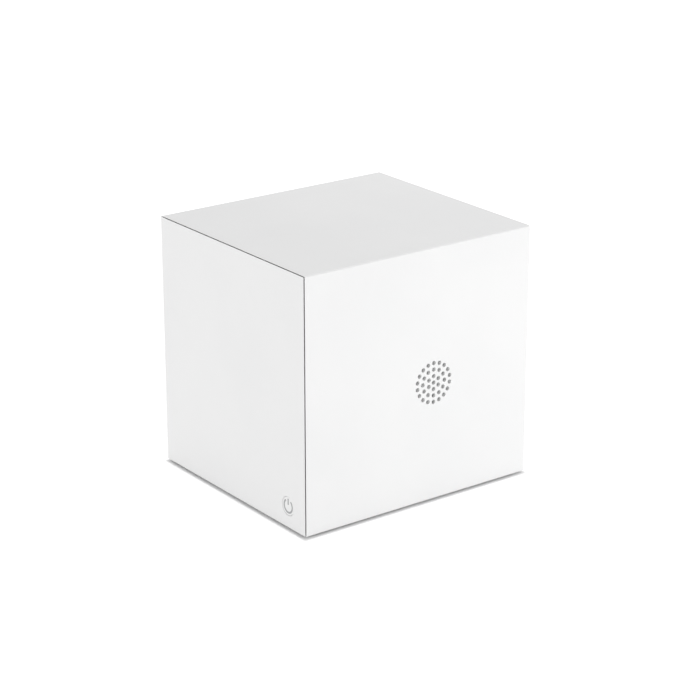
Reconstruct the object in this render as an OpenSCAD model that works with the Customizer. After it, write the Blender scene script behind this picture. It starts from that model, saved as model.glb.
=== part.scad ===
// Cube-shaped smart speaker. One moulded sleeve makes the front, top, back and bottom, and a mitred
// side panel snaps into each end of it. Inside stands a sealed acoustic box with a full-range driver,
// which plays through a small round outlet in the front, and a passive radiator behind the rear
// grille. A battery lies under the box and the main board stands on its left wall.
// +X is to the right of the front, +Y to the back and +Z up. The origin is on the surface that the
// feet stand on, under the middle of the casing.

/* [Casing] */
// Width of the casing, from side panel to side panel
body_w = 104; // [86:1:130]
// Depth of the casing, from front to back
body_d = 93; // [90:1:120]
// Height of the casing with its feet
body_h = 100; // [83:1:130]
// Thickness of the casing's walls
wall = 2.5; // [2:0.1:3]
// Radius of the sleeve's long outer edges
edge_r = 0.6; // [0.4:0.1:1.2]
// Gap in the mitred seam between the sleeve and a side panel
seam = 0.4; // [0.3:0.05:0.6]
// Gap between the casing and the surface that it stands on
foot_gap = 0.8; // [0.5:0.1:3]

/* [Feet and label] */
// Diameter of a foot
foot_d = 14; // [10:0.5:17]
// Depth of the recess that a foot is glued into
foot_recess = 0.9; // [0.6:0.1:1]
// Distance from a foot's middle to the two nearest sides of the casing
foot_inset = 14; // [13:0.5:16]
// Length of the blank label under the casing
label_l = 44; // [30:1:46]
// Width of the label
label_w = 22; // [12:1:28]

/* [Sound outlet] */
// Distance of the outlet's middle to the right of the casing's middle
outlet_x = 6.5; // [2:0.5:9]
// Height of the outlet's middle
outlet_z = 47.6; // [46:0.2:54]
// Number of rings of holes round the middle hole
outlet_rings = 3; // [2:1:4]
// Distance from one ring of holes to the next
outlet_pitch = 2.55; // [2.2:0.05:3]
// Diameter of an outlet hole
outlet_hole_d = 1.7; // [1:0.1:1.9]
// Length of the horn between the front wall and the driver
horn_len = 7.3; // [6.5:0.1:9]

/* [Power button] */
// Diameter of the power button
power_d = 7.2; // [6:0.1:8.7]
// Distance of the power button's middle behind the front face
power_inset = 11; // [11:0.5:16]
// Height of the power button's middle
power_z = 9.4; // [9.2:0.1:14]
// Gap round every button
button_gap = 0.15; // [0.1:0.05:0.3]
// Travel of every button
button_travel = 0.4; // [0.2:0.05:0.5]

/* [Rear controls] */
// Height of the charging socket's middle
socket_z = 30; // [29:0.5:31]
// Height of the volume-down button
volume_down_z = 42; // [41:0.5:43]
// Height of the volume-up button
volume_up_z = 53; // [51.5:0.5:54]
// Height of the microphone switch in the middle of its travel
mute_z = 65.5; // [63:0.5:66]
// Diameter of a volume button
volume_d = 5.5; // [4.5:0.1:6.5]
// Travel of the microphone switch
mute_travel = 2; // [1.5:0.1:2.5]

/* [Rear grille] */
// Width of the field of upright slots
grille_w = 46; // [36:1:48]
// Length of a slot: there are two rows of them
grille_slot_l = 20; // [14:1:21]
// Width of a slot
grille_slot_w = 2; // [1.4:0.1:2.4]
// Distance from one slot to the next
grille_pitch = 4.4; // [3.6:0.1:5.5]

/* [Acoustic box] */
// Thickness of the box's walls
box_wall = 2.5; // [2:0.1:3]
// Thickness of the box's front, which carries the driver
baffle_t = 3; // [2.5:0.1:4]
// Room between the left panel and the box, for the main board
left_bay = 17; // [16.5:0.5:20]
// Room between the box and the right panel
right_bay = 8; // [7.5:0.5:10]
// Room between the box and the back wall, for the radiator's travel
rear_bay = 8; // [7.8:0.1:12]
// Room between the base tray and the box, for the battery
bottom_bay = 12.7; // [12.2:0.1:16]

/* [Driver] */
// Diameter of the driver's flange
driver_d = 49; // [40:0.5:50]
// Travel of the cone each way
driver_travel = 2; // [1:0.1:2.4]
// Outer diameter of the magnet
magnet_d = 36; // [30:0.5:40]
// Thickness of the magnet
magnet_t = 6; // [4:0.5:10]

/* [Passive radiator] */
// Outer diameter of the radiator's frame
radiator_d = 54; // [50:0.5:55]
// Travel of the radiator each way
radiator_travel = 2.5; // [1:0.1:3]

/* [Battery] */
// Width of the cell, from left to right
battery_w = 50; // [36:1:52]
// Length of the cell, from front to back
battery_l = 60; // [40:1:64]
// Thickness of the cell
battery_h = 9; // [6:0.5:9.5]

/* [Microphones] */
// Distance between the two microphones
mic_spacing = 50; // [44:1:60]
// Diameter of a microphone's hole in the back wall
mic_hole_d = 0.6; // [0.5:0.1:1]

/* [Hidden] */
$fn = 64;
sink = 0.3; // how far one lump of a piece is sunk into another, to join them
cut = 1; // how far a cut reaches past the surface that it opens
glue_gap = 0.1; // round a piece that is glued into a recess

// Casing
half_w = body_w / 2;
half_d = body_d / 2;
in_x = half_w - wall; // inner face of a side panel
in_y = half_d - wall; // inner face of the front and back walls
floor_z = foot_gap + wall;
ceil_z = body_h - wall;
seam_step = seam / sqrt(2); // how far each mitre is moved along X to open the seam

// Snap hooks of the side panels, and the ribs that they catch on
rib_gap = 0.15;
rib_t = 1.2;
rib_len = 3;
hook_w = 8;
hook_t = 1.2;
hook_len = 7;
hook_y = 20;
hook_top = rib_gap + rib_t; // distance from a wall to a hook's arm
catch_h = 1.1;
catch_t = 1.2;
catch_len = 3.4; // from the panel's inner face to the catch rib
hook_gap = 0.2;
nib_t = 1.8;
nib_h = 1;

// Base tray and the screws under the feet
tray_gap = 2;
tray_t = 2;
tray_z = floor_z + tray_gap;
tray_top = tray_z + tray_t;
tray_x = in_x - hook_len - 0.5;
tray_y = in_y - 1;
tray_rim_t = 1.5;
tray_rim_h = 3;
tray_boss_r = 4;
tray_boss_h = 5;
rail_l = 30; // rails at the two ends of the battery
rail_t = 1.4;
rail_h = 5;
rail_gap = 0.3;
foot_x = half_w - foot_inset;
foot_y = half_d - foot_inset;
foot_h = foot_gap + foot_recess;
foot_corner = 0.3;
foot_groove_r = foot_d / 2 - 2.2; // outer radius of the groove under a foot
foot_groove_w = 0.8;
foot_groove_depth = 0.3;
casing_boss_r = 4.6;
casing_head_r = 2.75;
casing_head_h = 1.9;
casing_shaft_r = 1.45;
casing_shaft_len = 8;
casing_seat_z = foot_h + casing_head_h + 0.2;
label_t = 0.15;
label_corner = 2;

// Screws: the gap round a shaft, in a thread and in a clearance hole
thread_gap = 0.05;
hole_gap = 0.25;
small_shaft_r = 1;
small_head_r = 1.9;
small_head_h = 1.6;
tiny_shaft_r = 0.7;
tiny_head_r = 1.3;
tiny_head_h = 0.8;
tiny_hole_gap = 0.15;
drive_w = 0.5; // width of the cross in a screw's head

// Sound outlet
outlet_r = outlet_rings * outlet_pitch + outlet_hole_d / 2;
outlet_mesh_t = 0.5;
outlet_gasket_t = 0.7;
outlet_mesh_r = outlet_r + 2.7;
outlet_pocket = outlet_mesh_t + outlet_gasket_t;
outlet_mesh_gap = 0.3;
horn_mouth_r = outlet_r + 1.1;
horn_flange_t = 2;
horn_wall = 1.6;
horn_throat_h = 1.4; // how far the horn starts in front of the driver

// Driver: heights are counted inwards from the front of its flange
flange_y = -in_y + horn_len;
driver_r = driver_d / 2;
driver_screw_r = driver_r - 2.3;
basket_t = 1.6;
basket_gasket_t = 0.6;
basket_top_r = driver_r - 5.2;
basket_bore_r = basket_top_r + 0.4; // of the holes that the basket passes through
basket_foot_r = basket_top_r - 3.3;
basket_foot_h = 15;
basket_wall = 1.2;
basket_window_w = 11;
basket_window_h = 6.4;
surround_land_r = driver_r - 5.4;
surround_land_t = 0.5;
surround_land_h = 0.4;
surround_h = surround_land_h + surround_land_t;
roll_r = 0.8 * driver_travel; // middle radius of the half roll, which bends as the cone moves
roll_t = 0.5;
roll_margin = 0.3;
cone_edge_r = surround_land_r - 1.6 - 2 * roll_r;
cone_t = 0.4;
cone_neck_h = 8.3;
coil_former_r = 6.6;
former_t = 0.2;
coil_t = 0.45;
coil_gap = 0.3;
plate_t = 3;
coil_h = plate_t + 0.8 * driver_travel; // turns stay in the plate's gap as the coil moves
plate_h = basket_foot_h + basket_t;
plate_r = basket_foot_r;
magnet_h = plate_h + plate_t;
yoke_h = magnet_h + magnet_t;
yoke_t = 3;
magnet_bore_r = coil_former_r + 2.4;
pole_gap = 0.25; // between the pole and the coil's former
vent_r = 1.5;
spider_h = 10.5;
spider_t = 0.4;
spider_r = basket_foot_r - 1.6;
dust_cap_r = 8.2;
dust_cap_rise = 2.3;
dust_cap_t = 0.4;
terminal_h = plate_h + 0.2;
terminal_t = 0.6;
terminal_w = 2;
terminal_l = 4.5;
terminal_x = 3; // distance of each terminal's middle from the driver's axis
terminal_block = [10, 2.6, 1.4];

// Acoustic box
box_y0 = flange_y + basket_t + basket_gasket_t;
box_gasket_t = 0.8;
tub_y0 = box_y0 + baffle_t + box_gasket_t;
box_y1 = in_y - rear_bay;
box_x0 = -in_x + left_bay;
box_x1 = in_x - right_bay;
top_gap = 2;
box_z0 = tray_top + bottom_bay;
box_z1 = ceil_z - top_gap;
box_boss_r = 3.5;
box_boss_inset = 4.6;
box_boss_len = 12;
box_corner = 2;
box_screw_grip = 8; // length of a box screw behind the baffle
leg_r = 3.5;
leg_inset = 5;
leg_y = foot_y - 10;
leg_screw_len = 9;
pad_t = 8;
pad_side_gap = 6;
pad_front_gap = 2;
pad_back_gap = 8;
grommet_r = 2.6;
grommet_lip = 1.2;
grommet_neck = 0.8; // how much thinner the grommet is between its lips
grommet_bore_r = 1;
grommet_x = box_x0 + 8;
grommet_y = -14;

// Passive radiator: heights are counted outwards from the back of the box
radiator_x = (box_x0 + box_x1) / 2;
radiator_z = (box_z0 + box_z1) / 2;
radiator_r = radiator_d / 2;
radiator_frame_t = 1.6;
radiator_bore_r = radiator_r - 3.8;
radiator_roll_r = 0.88 * radiator_travel;
radiator_roll_t = 0.5;
diaphragm_r = radiator_bore_r - 2 * radiator_roll_r - 0.6;
diaphragm_t = 1.5;
weight_r = 10;
weight_t = 3;
weight_bore_r = 2;
rear_mesh_t = 0.6;
rear_mesh_margin = 1.5;
rear_mesh_corner = 2;
grille_bridge = 3; // wall between the two rows of slots
grille_columns = floor((grille_w - grille_slot_w) / 2 / grille_pitch);
rear_mesh_x = grille_columns * grille_pitch + grille_slot_w / 2 + rear_mesh_margin;
rear_mesh_z = grille_slot_l + grille_bridge / 2 + rear_mesh_margin;

// Main board
standoff = 3.5;
standoff_r = 3;
board_t = 1.6;
board_x1 = box_x0 - standoff;
board_x0 = board_x1 - board_t;
board_y0 = -in_y + 6;
board_y1 = in_y - 2;
board_z0 = box_z0 + 4;
board_z1 = box_z1 - 5.5;
board_screw_y = [tub_y0 + 5, box_y1 - 5];
board_screw_z = [board_z0 + 5, board_z1 - 5];
board_screw_len = 7;
board_corner = 1.5;
board_mid_z = (board_z0 + board_z1) / 2;
connector_y = [board_screw_y[0] - 6.8, -14, 14];
top_connector_y = [0, board_screw_y[1] - 5];
connector_h = 5;
connector_z = board_z0 + 3;
wire_x = board_x0 - connector_h / 2;
power_wire_r = 0.8;
signal_wire_r = 0.6;
lead_r = 0.55;
antenna_z = box_z1 - 22;
antenna_l = 32;
antenna_w = 18;
antenna_t = 0.4;

// Rear controls stand on the main board, in line with the charging socket
socket_w = 8.94;
socket_t = 3.2;
socket_len = 7.3;
socket_wall = 0.32;
socket_mouth = 1.5; // distance of the socket's mouth inside the back face
socket_gap = 0.25;
socket_back = 1; // thickness of the socket's closed end
tongue_t = 0.7;
tongue_w = 6.7;
tongue_inset = 0.9; // distance of the tongue's end inside the socket's mouth
io_x = board_x0 - socket_t / 2;
flush = 0.1; // distance of a button's face inside the casing's face
cap_flange_t = 0.8;
cap_flange = 0.75; // how far a button's flange is wider than its hole
cap_gap = 0.2; // between a button's flange and the wall
stem_r = 1.2;
stem_gap = 0.3; // how far a stem reaches into its switch at rest, and the gap round it there
well_depth = stem_gap + button_travel + 0.2;
switch_len = 4;
switch_w = 6;
switch_t = 3.5;
switch_y1 = board_y1 - 0.5;
mute_w = 3;
mute_l = 4.5;
mute_switch_w = 9;
mute_lever = 1.2;
mute_lever_w = 1;
mute_plate_side = 0.8; // how much wider the slider's inner plate is on each side
mute_plate_end = 1.2; // how far it still covers the opening at the end of its travel

// Power button
power_y = -half_d + power_inset;
power_r = power_d / 2;
power_flange_r = power_r + button_gap + 0.5;
power_switch_t = 2;
power_switch_w = 6;
power_flange_t = 1;
power_stem_r = 1.4;
power_board_x = -in_x + 4.3; // left face of the button's board
power_board_t = 1;
power_board_l = 14.8;
power_board_w = 10;
power_post = 6;
power_post_r = 1.5;
power_screw_len = 4;
symbol_r = 2.9;
symbol_stroke = 0.75;
symbol_t = 0.3;
symbol_gap = 36; // half the angle of the ring's opening
symbol_bar = 0.5; // distance of the bar's lower end above the ring's middle

// Microphones
mic_z = ceil_z - 6.5;
mic_board_t = 1;
mic_gasket_t = 0.8;
mic_gasket_r = 2;
mic_gasket_bore_r = 0.6;
mic_board_hole_r = 0.4;
mic_board_corner = 1;
mic_can = [3.8, 1.1, 2.8];
mic_board_y = in_y - mic_gasket_t - mic_board_t;
mic_board_h = 6;
mic_board_l = mic_spacing + 10;
mic_post_x = mic_spacing / 2 - 7;
mic_screw_len = 3.2;
mic_post_r = 2.2;
mic_post_hole = 1.6;

// Battery
battery_x = radiator_x;
battery_rest = 1; // pads under the cell
strap_t = 1.2;
strap_w = 16;
strap_foot = 8;
strap_gap = 0.4;
strap_boss_r = 3;
cell_corner = 3;
cell_pad_inset = 5;
cell_pad_w = 8;
battery_z = tray_top + battery_rest;
strap_z = battery_z + battery_h + strap_gap;
strap_half = battery_w / 2 + strap_gap + strap_t;
strap_screw_x = strap_half + strap_foot / 2;

module block(x, y, z) translate([x[0], y[0], z[0]]) cube([x[1] - x[0], y[1] - y[0], z[1] - z[0]]);

module rect(x, y) translate([x[0], y[0]]) square([x[1] - x[0], y[1] - y[0]]);

module round_rect(x, y, r) {
    rect([x[0] + r, x[1] - r], y);
    rect(x, [y[0] + r, y[1] - r]);
    for (px = [x[0] + r, x[1] - r], py = [y[0] + r, y[1] - r]) translate([px, py]) circle(r);
}

// A round-ended slot, along the first axis
module slot(length, width) {
    square([length - width, width], center = true);
    for (side = [-1, 1]) translate([side * (length - width) / 2, 0]) circle(width / 2);
}

// A flat outline becomes a plate that faces Y: its axes are X and Z, and it runs from y to y + t
module facing_y(y, t) translate([0, y + t, 0]) rotate([90, 0, 0]) linear_extrude(t) children();

// A flat outline becomes a plate that faces X: its axes are Y and Z, and it runs from x to x + t
module facing_x(x, t) translate([x, 0, 0]) rotate([90, 0, 90]) linear_extrude(t) children();

module rod_y(x, z, r, y) translate([x, y[0], z]) rotate([-90, 0, 0]) cylinder(h = y[1] - y[0], r = r);

module rod_x(y, z, r, x) translate([x[0], y, z]) rotate([0, 90, 0]) cylinder(h = x[1] - x[0], r = r);

// A screw with its head above z = 0 and its shaft below
module screw(len, shaft_r, head_r, head_h) {
    difference() {
        cylinder(h = head_h, r = head_r);
        for (turn = [0, 90]) rotate(turn) translate([-head_r * 0.6, -drive_w / 2, head_h / 2])
            cube([head_r * 1.2, drive_w, head_h]);
    }
    translate([0, 0, -len]) cylinder(h = len + sink, r = shaft_r);
}

module screw_up(x, y, z, len, shaft_r, head_r, head_h)
    translate([x, y, z]) mirror([0, 0, 1]) screw(len, shaft_r, head_r, head_h);

module screw_back(x, y, z, len, shaft_r, head_r, head_h)
    translate([x, y, z]) rotate([90, 0, 0]) screw(len, shaft_r, head_r, head_h);

module screw_right(x, y, z, len, shaft_r, head_r, head_h)
    translate([x, y, z]) rotate([0, -90, 0]) screw(len, shaft_r, head_r, head_h);

module screw_left(x, y, z, len, shaft_r, head_r, head_h)
    translate([x, y, z]) rotate([0, 90, 0]) screw(len, shaft_r, head_r, head_h);

// A wire that runs straight from each point to the next
module wire(points, r) for (i = [1:len(points) - 1]) {
    step = points[i] - points[i - 1];
    translate(points[i - 1])
        rotate([0, acos(step.z / norm(step)), atan2(step.y, step.x)])
            cylinder(h = norm(step), r = r, $fn = 20);
    if (i < len(points) - 1) translate(points[i]) sphere(r * 1.05, $fn = 20);
}

// ---- Casing ----

// The end of the casing at +X as a block whose four sides are mitred at 45 degrees
module mitred_end(x, step) {
    function in_from_edge(px) = half_w + step - px;
    a = in_from_edge(x[0]);
    b = in_from_edge(x[1]);
    intersection() {
        linear_extrude(2 * body_h)
            polygon([[x[0], a - half_d], [x[1], b - half_d], [x[1], half_d - b], [x[0], half_d - a]]);
        facing_y(-body_d, 2 * body_d)
            polygon([[x[0], foot_gap + a], [x[1], foot_gap + b], [x[1], body_h - b], [x[0], body_h - a]]);
    }
}

// A range of heights at the bottom or top wall, counted from the wall inwards
function at_wall(top, low, high) = top ? [ceil_z - high, ceil_z - low] : [floor_z + low, floor_z + high];

module outlet_holes() {
    circle(outlet_hole_d / 2);
    for (ring = [1:outlet_rings], i = [0:6 * ring - 1])
        rotate(i * 60 / ring) translate([0, ring * outlet_pitch]) circle(outlet_hole_d / 2);
}

module grille_slots() for (column = [-grille_columns:grille_columns], row = [-1, 1])
    translate([column * grille_pitch, row * (grille_slot_l + grille_bridge) / 2])
        rotate(90) slot(grille_slot_l, grille_slot_w);

// The outline of the mesh behind the rear grille
module rear_mesh_outline(gap) round_rect([-rear_mesh_x - gap, rear_mesh_x + gap],
    [-rear_mesh_z - gap, rear_mesh_z + gap], rear_mesh_corner);

module label_outline(gap) round_rect([-label_l / 2 - gap, label_l / 2 + gap],
    [-label_w / 2 - gap, label_w / 2 + gap], label_corner + gap);

module catch_ribs() for (side = [0, 1], y = [-hook_y, hook_y], top = [false, true])
    mirror([side, 0, 0])
        block([in_x - catch_len - catch_t, in_x - catch_len], [y - hook_w / 2 - 1, y + hook_w / 2 + 1],
            at_wall(top, -sink, catch_h));

module at_feet() for (x = [-foot_x, foot_x], y = [-foot_y, foot_y]) translate([x, y, 0]) children();

module casing_sleeve() color("white") difference() {
    union() {
        facing_x(-half_w, body_w) difference() {
            round_rect([-half_d, half_d], [foot_gap, body_h], edge_r);
            rect([-in_y, in_y], [floor_z, ceil_z]);
        }
        catch_ribs();
        at_feet() translate([0, 0, floor_z - sink]) cylinder(h = tray_gap + sink, r = casing_boss_r);
        for (side = [-1, 1]) rod_y(side * mic_post_x, mic_z, mic_post_r, [in_y - mic_gasket_t, in_y + sink]);
    }
    for (side = [0, 1]) mirror([side, 0, 0]) mitred_end([in_x - seam_step, half_w + cut], -seam_step);
    // sound outlet, with the pocket for its mesh and gasket
    translate([outlet_x, 0, outlet_z]) {
        facing_y(-half_d - cut, wall + cut) outlet_holes();
        rod_y(0, 0, outlet_mesh_r + outlet_mesh_gap, [-in_y - outlet_pocket, -in_y + cut]);
    }
    // feet, and the screws that they hide
    at_feet() {
        translate([0, 0, -cut]) cylinder(h = foot_h + cut, r = foot_d / 2 + glue_gap);
        cylinder(h = casing_seat_z, r = casing_head_r + hole_gap);
        cylinder(h = tray_z + cut, r = casing_shaft_r + hole_gap);
    }
    translate([0, 0, foot_gap - cut]) linear_extrude(cut + label_t) label_outline(glue_gap);
    // rear grille, with the pocket for its mesh
    translate([radiator_x, 0, radiator_z]) {
        facing_y(in_y - cut, wall + 2 * cut) grille_slots();
        facing_y(in_y - cut, rear_mesh_t + cut) rear_mesh_outline(glue_gap);
    }
    // socket, buttons, switch and microphones in the back wall
    translate([0, in_y - cut, 0]) {
        translate([io_x, 0, socket_z]) facing_y(0, wall + 2 * cut)
            rotate(90) slot(socket_w + 2 * socket_gap, socket_t + 2 * socket_gap);
        for (z = [volume_down_z, volume_up_z])
            rod_y(io_x, z, volume_d / 2 + button_gap, [0, wall + 2 * cut]);
        translate([io_x, 0, mute_z]) facing_y(0, wall + 2 * cut)
            rect([-mute_w / 2 - button_gap, mute_w / 2 + button_gap],
                [-(mute_l + mute_travel) / 2 - button_gap, (mute_l + mute_travel) / 2 + button_gap]);
        for (side = [-1, 1]) {
            rod_y(side * mic_spacing / 2, mic_z, mic_hole_d / 2, [0, wall + 2 * cut]);
            rod_y(side * mic_post_x, mic_z, tiny_shaft_r + thread_gap, [-cut, mic_post_hole + cut]);
        }
    }
}

// The panel at +X: the mitred plate, the rib that locates it in the sleeve and its four hooks
module plain_side_panel() {
    mitred_end([in_x, half_w], seam_step);
    facing_x(in_x - rib_len, rib_len + sink) difference() {
        rect([-in_y + rib_gap, in_y - rib_gap], at_wall(true, rib_gap, ceil_z - floor_z - rib_gap));
        rect([-in_y + hook_top, in_y - hook_top], at_wall(true, hook_top, ceil_z - floor_z - hook_top));
    }
    for (y = [-hook_y, hook_y], top = [false, true]) {
        block([in_x - hook_len, in_x + sink], [y - hook_w / 2, y + hook_w / 2],
            at_wall(top, hook_top, hook_top + hook_t));
        block([in_x - catch_len - catch_t - hook_gap - nib_t, in_x - catch_len - catch_t - hook_gap],
            [y - hook_w / 2, y + hook_w / 2], at_wall(top, hook_top - nib_h, hook_top + sink));
    }
}

module at_power_posts() for (side = [-1, 1]) translate([0, power_y + side * power_post, power_z]) children();

module left_side_panel() color("white") difference() {
    union() {
        mirror([1, 0, 0]) plain_side_panel();
        at_power_posts() rod_x(0, 0, power_post_r, [-in_x - sink, power_board_x]);
    }
    rod_x(power_y, power_z, power_r + button_gap, [-half_w - cut, -in_x + cut]);
    // room for a wide button's flange in the panel's rib
    rod_x(power_y, power_z, power_flange_r + 0.2, [-in_x, -in_x + 2 * power_flange_t]);
    at_power_posts() rod_x(0, 0, tiny_shaft_r + thread_gap, [-in_x - 1, power_board_x + cut]);
}

module right_side_panel() color("white") plain_side_panel();

module foot(side_x, side_y) color("dimgray") translate([side_x * foot_x, side_y * foot_y, 0]) difference() {
    rotate_extrude() polygon([
        [0, 0], [foot_d / 2 - foot_corner, 0], [foot_d / 2, foot_corner], [foot_d / 2, foot_h], [0, foot_h]
    ]);
    translate([0, 0, -cut]) difference() {
        cylinder(h = cut + foot_groove_depth, r = foot_groove_r);
        cylinder(h = cut + foot_groove_depth, r = foot_groove_r - foot_groove_w);
    }
}

module casing_screws() color("silver") at_feet()
    screw_up(0, 0, casing_seat_z, casing_shaft_len, casing_shaft_r, casing_head_r, casing_head_h);

module base_tray() color("#3a3c40") difference() {
    union() {
        block([-tray_x, tray_x], [-tray_y, tray_y], [tray_z, tray_top]);
        translate([0, 0, tray_top - sink]) linear_extrude(tray_rim_h + sink) difference() {
            rect([-tray_x, tray_x], [-tray_y, tray_y]);
            rect([-tray_x + tray_rim_t, tray_x - tray_rim_t], [-tray_y + tray_rim_t, tray_y - tray_rim_t]);
        }
        at_feet() translate([0, 0, tray_z]) cylinder(h = tray_t + tray_boss_h, r = tray_boss_r);
        for (side = [0, 1]) mirror([0, side, 0]) block([battery_x - rail_l / 2, battery_x + rail_l / 2],
            [battery_l / 2 + rail_gap, battery_l / 2 + rail_gap + rail_t],
            [tray_top - sink, tray_top + rail_h]);
        for (side = [-1, 1]) translate([battery_x + side * strap_screw_x, 0, tray_top - sink])
            cylinder(h = battery_rest + sink, r = strap_boss_r);
    }
    at_feet() cylinder(h = 4 * tray_top, r = casing_shaft_r + thread_gap);
    at_box_legs() cylinder(h = 2 * tray_top, r = small_shaft_r + hole_gap);
    for (side = [-1, 1]) translate([battery_x + side * strap_screw_x, 0, 0])
        cylinder(h = 2 * tray_top, r = small_shaft_r + thread_gap);
}

module bottom_label() color("gainsboro") translate([0, 0, foot_gap]) linear_extrude(label_t) label_outline(0);

// ---- Sound outlet ----

module outlet_mesh() color("lightgray")
    rod_y(outlet_x, outlet_z, outlet_mesh_r, [-in_y - outlet_pocket, -in_y - outlet_gasket_t]);

module waveguide_gasket() color("#303030") difference() {
    rod_y(outlet_x, outlet_z, outlet_mesh_r, [-in_y - outlet_gasket_t, -in_y]);
    rod_y(outlet_x, outlet_z, horn_mouth_r - 0.4, [-in_y - cut, -in_y + cut]);
}

// Turns an outline about the driver's axis: its axes are radius and depth behind the flange's front
module on_driver() translate([outlet_x, flange_y, outlet_z]) rotate([-90, 0, 0]) children();

module at_driver_screws() for (turn = [45:90:315]) rotate(turn) translate([driver_screw_r, 0, 0]) children();

module outlet_waveguide() color("#2c2e31") on_driver() difference() {
    rotate_extrude() polygon([
        [surround_land_r - 0.3, 0], [surround_land_r - 0.3, -horn_throat_h], [horn_mouth_r, -horn_len],
        [horn_mouth_r + horn_wall, -horn_len], [driver_screw_r - small_head_r - 0.2, -horn_flange_t],
        [driver_r, -horn_flange_t], [driver_r, 0]
    ]);
    at_driver_screws() translate([0, 0, -2 * horn_flange_t])
        cylinder(h = 2 * horn_flange_t + cut, r = small_shaft_r + hole_gap);
}

// ---- Power button ----

// A ring with an opening at its top, and a bar that stands in the opening
module power_outline() {
    reach = 2 * symbol_r;
    difference() {
        circle(symbol_r);
        circle(symbol_r - symbol_stroke);
        polygon([[0, 0], [-sin(symbol_gap) * reach, cos(symbol_gap) * reach],
            [sin(symbol_gap) * reach, cos(symbol_gap) * reach]]);
    }
    rect([-symbol_stroke / 2, symbol_stroke / 2], [symbol_bar, symbol_r]);
}

module power_symbol_solid(t) translate([0, power_y, power_z]) facing_x(-half_w + flush, t) power_outline();

module power_button() color("white") {
    flange_x = -in_x + cap_gap;
    stem_x = power_board_x - power_switch_t + stem_gap;
    difference() {
        union() {
            rod_x(power_y, power_z, power_r, [-half_w + flush, flange_x + sink]);
            rod_x(power_y, power_z, power_flange_r, [flange_x, flange_x + power_flange_t]);
            rod_x(power_y, power_z, power_stem_r, [flange_x + power_flange_t - sink, stem_x]);
        }
        power_symbol_solid(symbol_t);
    }
}

module power_symbol() color("darkgray") power_symbol_solid(symbol_t);

module power_switch() color("#202124") difference() {
    face_x = power_board_x - power_switch_t;
    block([face_x, power_board_x], [power_y - power_switch_w / 2, power_y + power_switch_w / 2],
        [power_z - power_switch_w / 2, power_z + power_switch_w / 2]);
    rod_x(power_y, power_z, power_stem_r + stem_gap, [face_x - cut, face_x + well_depth]);
}

module button_board() color("#1f5f3a") difference() {
    block([power_board_x, power_board_x + power_board_t],
        [power_y - power_board_l / 2, power_y + power_board_l / 2],
        [power_z - power_board_w / 2, power_z + power_board_w / 2]);
    at_power_posts()
        rod_x(0, 0, tiny_shaft_r + tiny_hole_gap, [power_board_x - cut, power_board_x + power_board_t + cut]);
}

// ---- Acoustic box ----

module at_box_corners() for (x = [box_x0 + box_boss_inset, box_x1 - box_boss_inset],
    z = [box_z0 + box_boss_inset, box_z1 - box_boss_inset]) translate([x, 0, z]) children();

module at_box_legs() for (x = [box_x0 + leg_inset, box_x1 - leg_inset], y = [-leg_y, leg_y])
    translate([x, y, 0]) children();

module acoustic_box_front() color("#2c2e31") difference() {
    facing_y(box_y0, baffle_t) round_rect([box_x0, box_x1], [box_z0, box_z1], box_corner);
    rod_y(outlet_x, outlet_z, basket_bore_r, [box_y0 - cut, tub_y0]);
    on_driver() at_driver_screws() cylinder(h = driver_r, r = small_shaft_r + thread_gap);
    at_box_corners() rod_y(0, 0, small_shaft_r + hole_gap, [box_y0 - cut, tub_y0]);
}

module box_gasket() color("#141414") facing_y(tub_y0 - box_gasket_t, box_gasket_t) difference() {
    round_rect([box_x0, box_x1], [box_z0, box_z1], box_corner);
    difference() {
        rect([box_x0 + box_wall, box_x1 - box_wall], [box_z0 + box_wall, box_z1 - box_wall]);
        at_box_corners_flat() circle(box_boss_r);
    }
    at_box_corners_flat() circle(small_shaft_r + hole_gap);
}

module at_box_corners_flat() for (x = [box_x0 + box_boss_inset, box_x1 - box_boss_inset],
    z = [box_z0 + box_boss_inset, box_z1 - box_boss_inset]) translate([x, z]) children();

module acoustic_box_rear() color("#2c2e31") difference() {
    union() {
        difference() {
            facing_y(tub_y0, box_y1 - tub_y0) round_rect([box_x0, box_x1], [box_z0, box_z1], box_corner);
            block([box_x0 + box_wall, box_x1 - box_wall], [tub_y0 - cut, box_y1 - box_wall],
                [box_z0 + box_wall, box_z1 - box_wall]);
        }
        at_box_corners() rod_y(0, 0, box_boss_r, [tub_y0, tub_y0 + box_boss_len]);
        at_box_legs() translate([0, 0, tray_top]) cylinder(h = bottom_bay + sink, r = leg_r);
        for (y = board_screw_y, z = board_screw_z) rod_x(y, z, standoff_r, [board_x1, box_x0 + sink]);
    }
    at_box_corners() rod_y(0, 0, small_shaft_r + thread_gap, [tub_y0 - cut, tub_y0 + box_boss_len - 1]);
    at_box_legs() cylinder(h = tray_top + leg_screw_len, r = small_shaft_r + thread_gap);
    for (y = board_screw_y, z = board_screw_z)
        rod_x(y, z, small_shaft_r + thread_gap, [board_x1 - cut, board_x1 + board_screw_len - board_t + 0.2]);
    rod_y(radiator_x, radiator_z, radiator_bore_r, [box_y1 - box_wall - cut, box_y1 + cut]);
    translate([grommet_x, grommet_y, box_z0 - cut])
        cylinder(h = box_wall + 2 * cut, r = grommet_r - grommet_neck);
}

module box_screws() color("silver") at_box_corners()
    screw_back(0, box_y0, 0, baffle_t + box_screw_grip, small_shaft_r, small_head_r, small_head_h);

module leg_screws() color("silver") at_box_legs()
    screw_up(0, 0, tray_z, leg_screw_len, small_shaft_r, small_head_r, small_head_h);

module damping_pad() color("#4a4d52")
    block([box_x0 + box_wall + pad_side_gap, box_x1 - box_wall - pad_side_gap],
        [tub_y0 + box_boss_len + pad_front_gap, box_y1 - box_wall - pad_back_gap],
        [box_z1 - box_wall - pad_t, box_z1 - box_wall]);

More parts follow.
